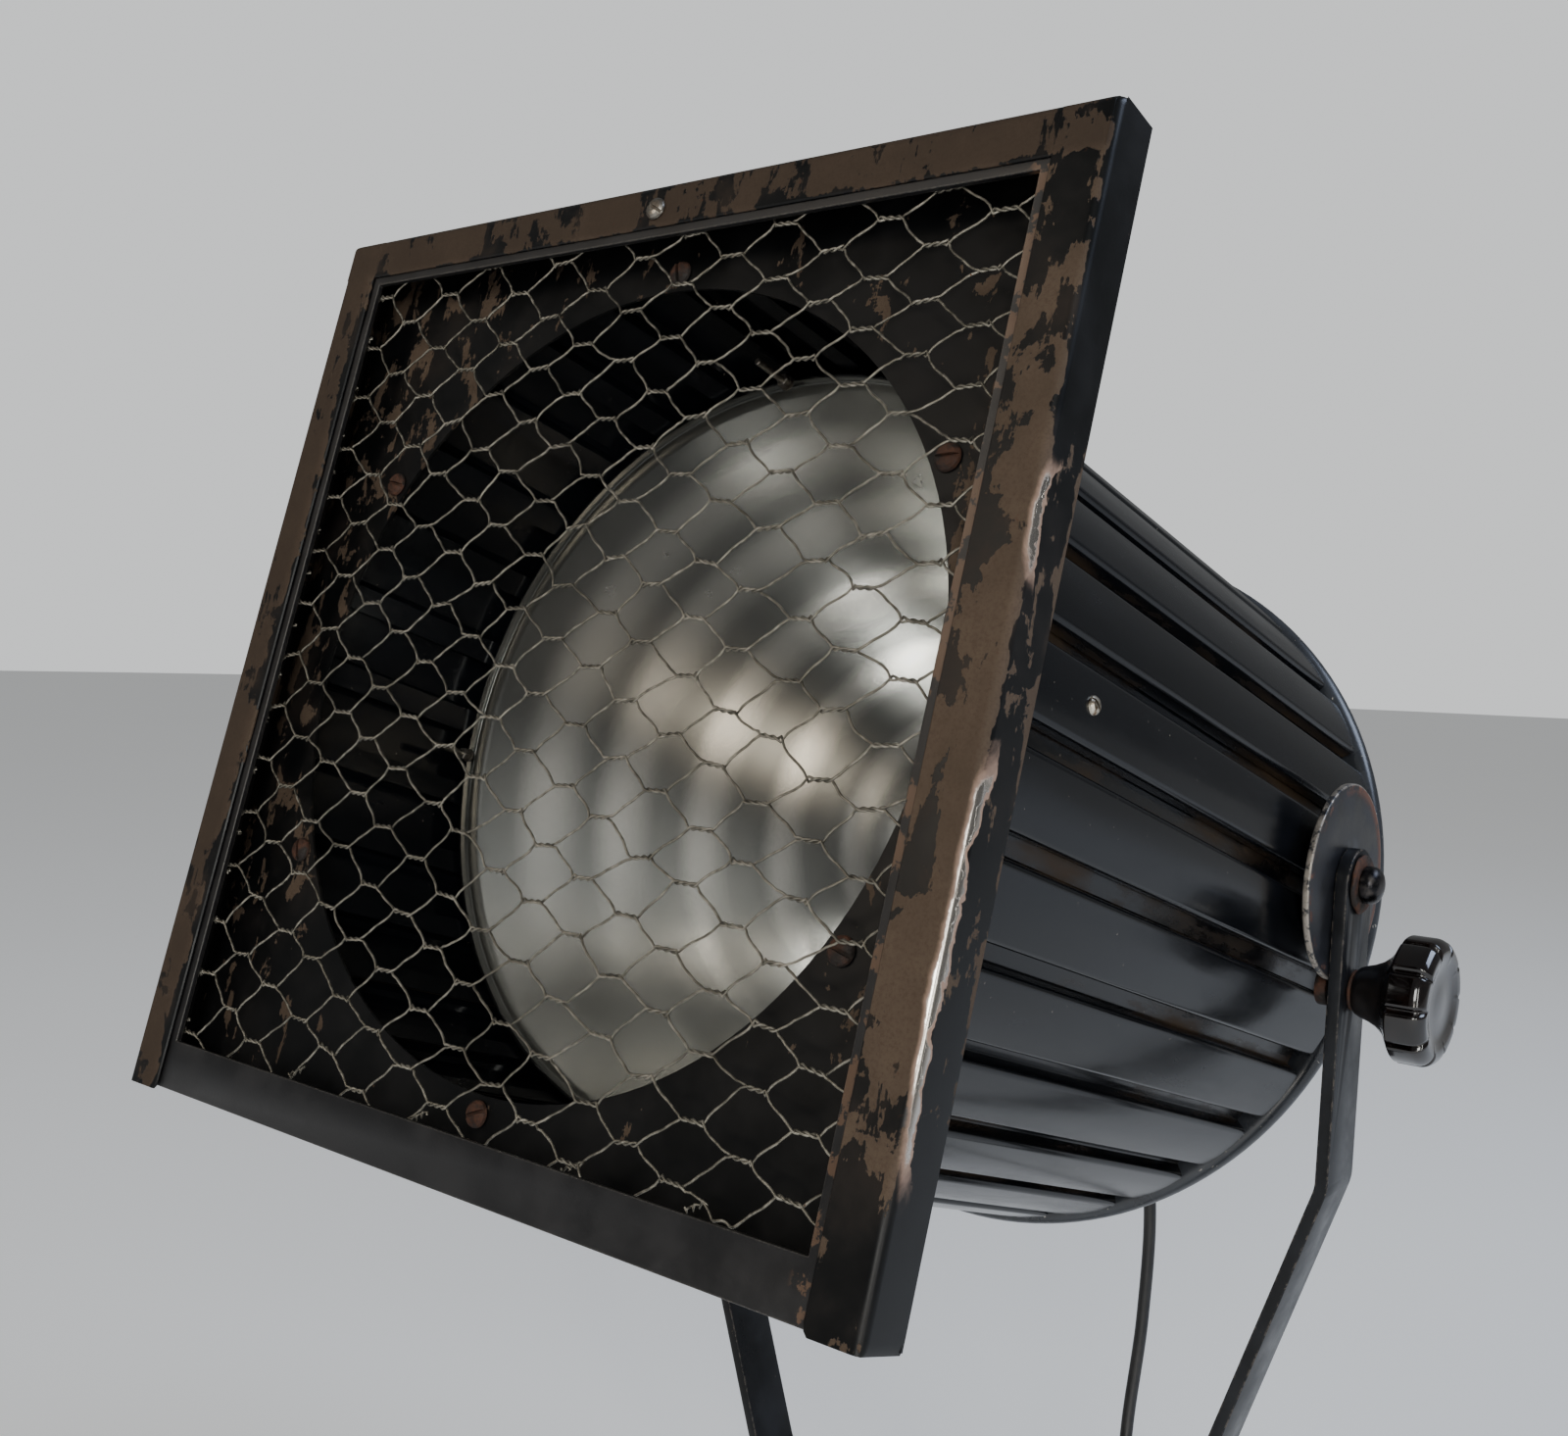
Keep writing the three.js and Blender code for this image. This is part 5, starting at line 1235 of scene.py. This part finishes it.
node(tree, "Mix", {
    0: node(tree, "MapRange", [stain, 0.4, 0.7], **EASED), 6: "#1c1c1f",
    7: "#4a4644"}, **COLOURS, to=shader.inputs["Base Color"])
node(tree, "MapRange", [stain, 0.3, 0.7, 0.22, 0.5], **EASED, to=shader.inputs["Roughness"])
bolt_top = ARM_OUT + 2.1
bolt_profile = [
    (0, HUB_IN + 0.6), (6, HUB_IN + 0.6), (6, bolt_top + 0.3), (8.3, bolt_top + 0.3), (8.6, bolt_top + 0.7),
    (8.6, bolt_top + 2.8), (8.4, bolt_top + 4.2), (7.6, bolt_top + 5.8), (6.2, bolt_top + 7.0),
    (4.2, bolt_top + 7.8), (2, bolt_top + 8.15), (0, bolt_top + 8.2)]
bolt = turned("domed_pivot_bolt", bolt_profile, "x", on_head, dark_steel, 48)
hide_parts("pivot_bolt")
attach(bolt, "lantern")
finished_copy("riveted_left_stud", ["pivot_boss_left"], frame_paint, "lantern", 0.0005)

# Clamp: a rusty stud through the fork's arm, its head behind the friction disc.
# A washer and the knob on its thread pull the head and the arm together on the disc.
finished_copy("rusted_clamp_stud", ["clamp_stud"], rust, "yoke", 0.0005)
finished_copy("rusted_clamp_washer", ["clamp_washer"], orange_rust, "yoke", 0.0004)

# Knob: compression-moulded phenolic, very dark brown and glossy, round a brass bush.
# Ten broad lobes with narrow grooves between, a dished face and a duller flared neck.
bakelite, tree, shader = new_finish("moulded_phenolic", "#0f0908", 0.12, ior=1.6)
shader.inputs["Coat Weight"].default_value = 0.4
shader.inputs["Coat Roughness"].default_value = 0.04
shader.inputs["Specular IOR Level"].default_value = 0.35
place = node(tree, "TexCoord", out="Object")
swirl = node(tree, "TexNoise", {"Vector": place, "Scale": 70, "Detail": 5, "Distortion": 1.2})
scratch = node(tree, "TexNoise", {
    "Vector": node(tree, "Mapping", {"Vector": place, "Scale": (0.15, 1, 1)}), "Scale": 1100,
    "Detail": 3})
node(tree, "Mix", {
    0: node(tree, "MapRange", [swirl, 0.35, 0.75], **EASED), 6: "#070404",
    7: "#140b08"}, **COLOURS, to=shader.inputs["Base Color"])
out_along = node(tree, "SeparateXYZ", {0: place})
neck = node(tree, "MapRange", [out_along, 0.2245, 0.2205], **EASED)
rough = node(tree, "Math", [
    node(tree, "MapRange", [swirl, 0.3, 0.75, 0.09, 0.2], **EASED),
    node(tree, "Math", [neck, 0.35], **TIMES)], **PLUS)
tree.links.new(rough, shader.inputs["Roughness"])
node(tree, "Bump", {
    "Height": scratch, "Strength": 0.06, "Distance": 0.0001}, to=shader.inputs["Normal"])
CLAMP_Z, KNOB_IN, KNOB_R = -48.95, 206.4, 28.8
KNOB_LOBE, KNOB_OUT = KNOB_IN + 19, KNOB_IN + 37.4
knob_profile = [
    (3.2, KNOB_IN), (10.2, KNOB_IN), (11, KNOB_IN + 0.8), (12.1, KNOB_IN + 3.5), (13.2, KNOB_IN + 7),
    (15.2, KNOB_IN + 11), (18.4, KNOB_IN + 14.8), (22.4, KNOB_IN + 17.6), (25.4, KNOB_IN + 19.2),
    (27.2, KNOB_IN + 20.2)]
knob_profile += bend(KNOB_R - 1.6, KNOB_LOBE + 3.0, 1.6, -70, 0, 4)
knob_profile += [(KNOB_R, KNOB_LOBE + 6), (KNOB_R, KNOB_LOBE + 9)]
knob_profile += bend(KNOB_R - 6.4, KNOB_OUT - 6.4, 6.4, 0, 84, 9)
knob_profile += [
    (20, KNOB_OUT - 0.5), (17, KNOB_OUT - 1.3), (13, KNOB_OUT - 1.9), (7, KNOB_OUT - 1.5),
    (3, KNOB_OUT - 1.3), (0, KNOB_OUT - 1.25)]
knob_profile = [(0, KNOB_IN + 17), (3.2, KNOB_IN + 17)] + knob_profile


def groove(i, a):
    """Narrow round-bottomed grooves between the lobes, running out before the face and the neck."""
    r, h = knob_profile[i]
    along = min(1.0, max(0.0, (h - KNOB_LOBE + 2.5) / 3.0)) * min(1.0, max(0.0, (r - 20.5) / 4.0))
    off = (a / math.tau * 10) % 1.0
    off = min(off, 1.0 - off) * math.tau * KNOB_R / 10
    return -along * 2.7 * math.exp(-(off / 1.35) ** 4 if off < 3 else -40)


knob = turned("lobed_knob", knob_profile, "x", on_fork, bakelite, 240, (0, 0, CLAMP_Z), 50, wave=groove)
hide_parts("clamp_knob")
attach(knob, "clamp_knob")

# Spigot: turned steel, 28.6 mm, for the socket of a lighting stand, with a collar.
# A bolt rises from it through the fork, and a wing nut holds the fork down.
finished_copy("turned_stand_spigot", ["stand_spigot"], steel, "stand_spigot", 0.0006)
finished_copy("pan_bolt_stem", ["pan_bolt"], steel, "stand_spigot", 0.0005)
finished_copy("cast_wing_nut", ["wing_nut"], steel, "wing_nut", 0.0012, 3)
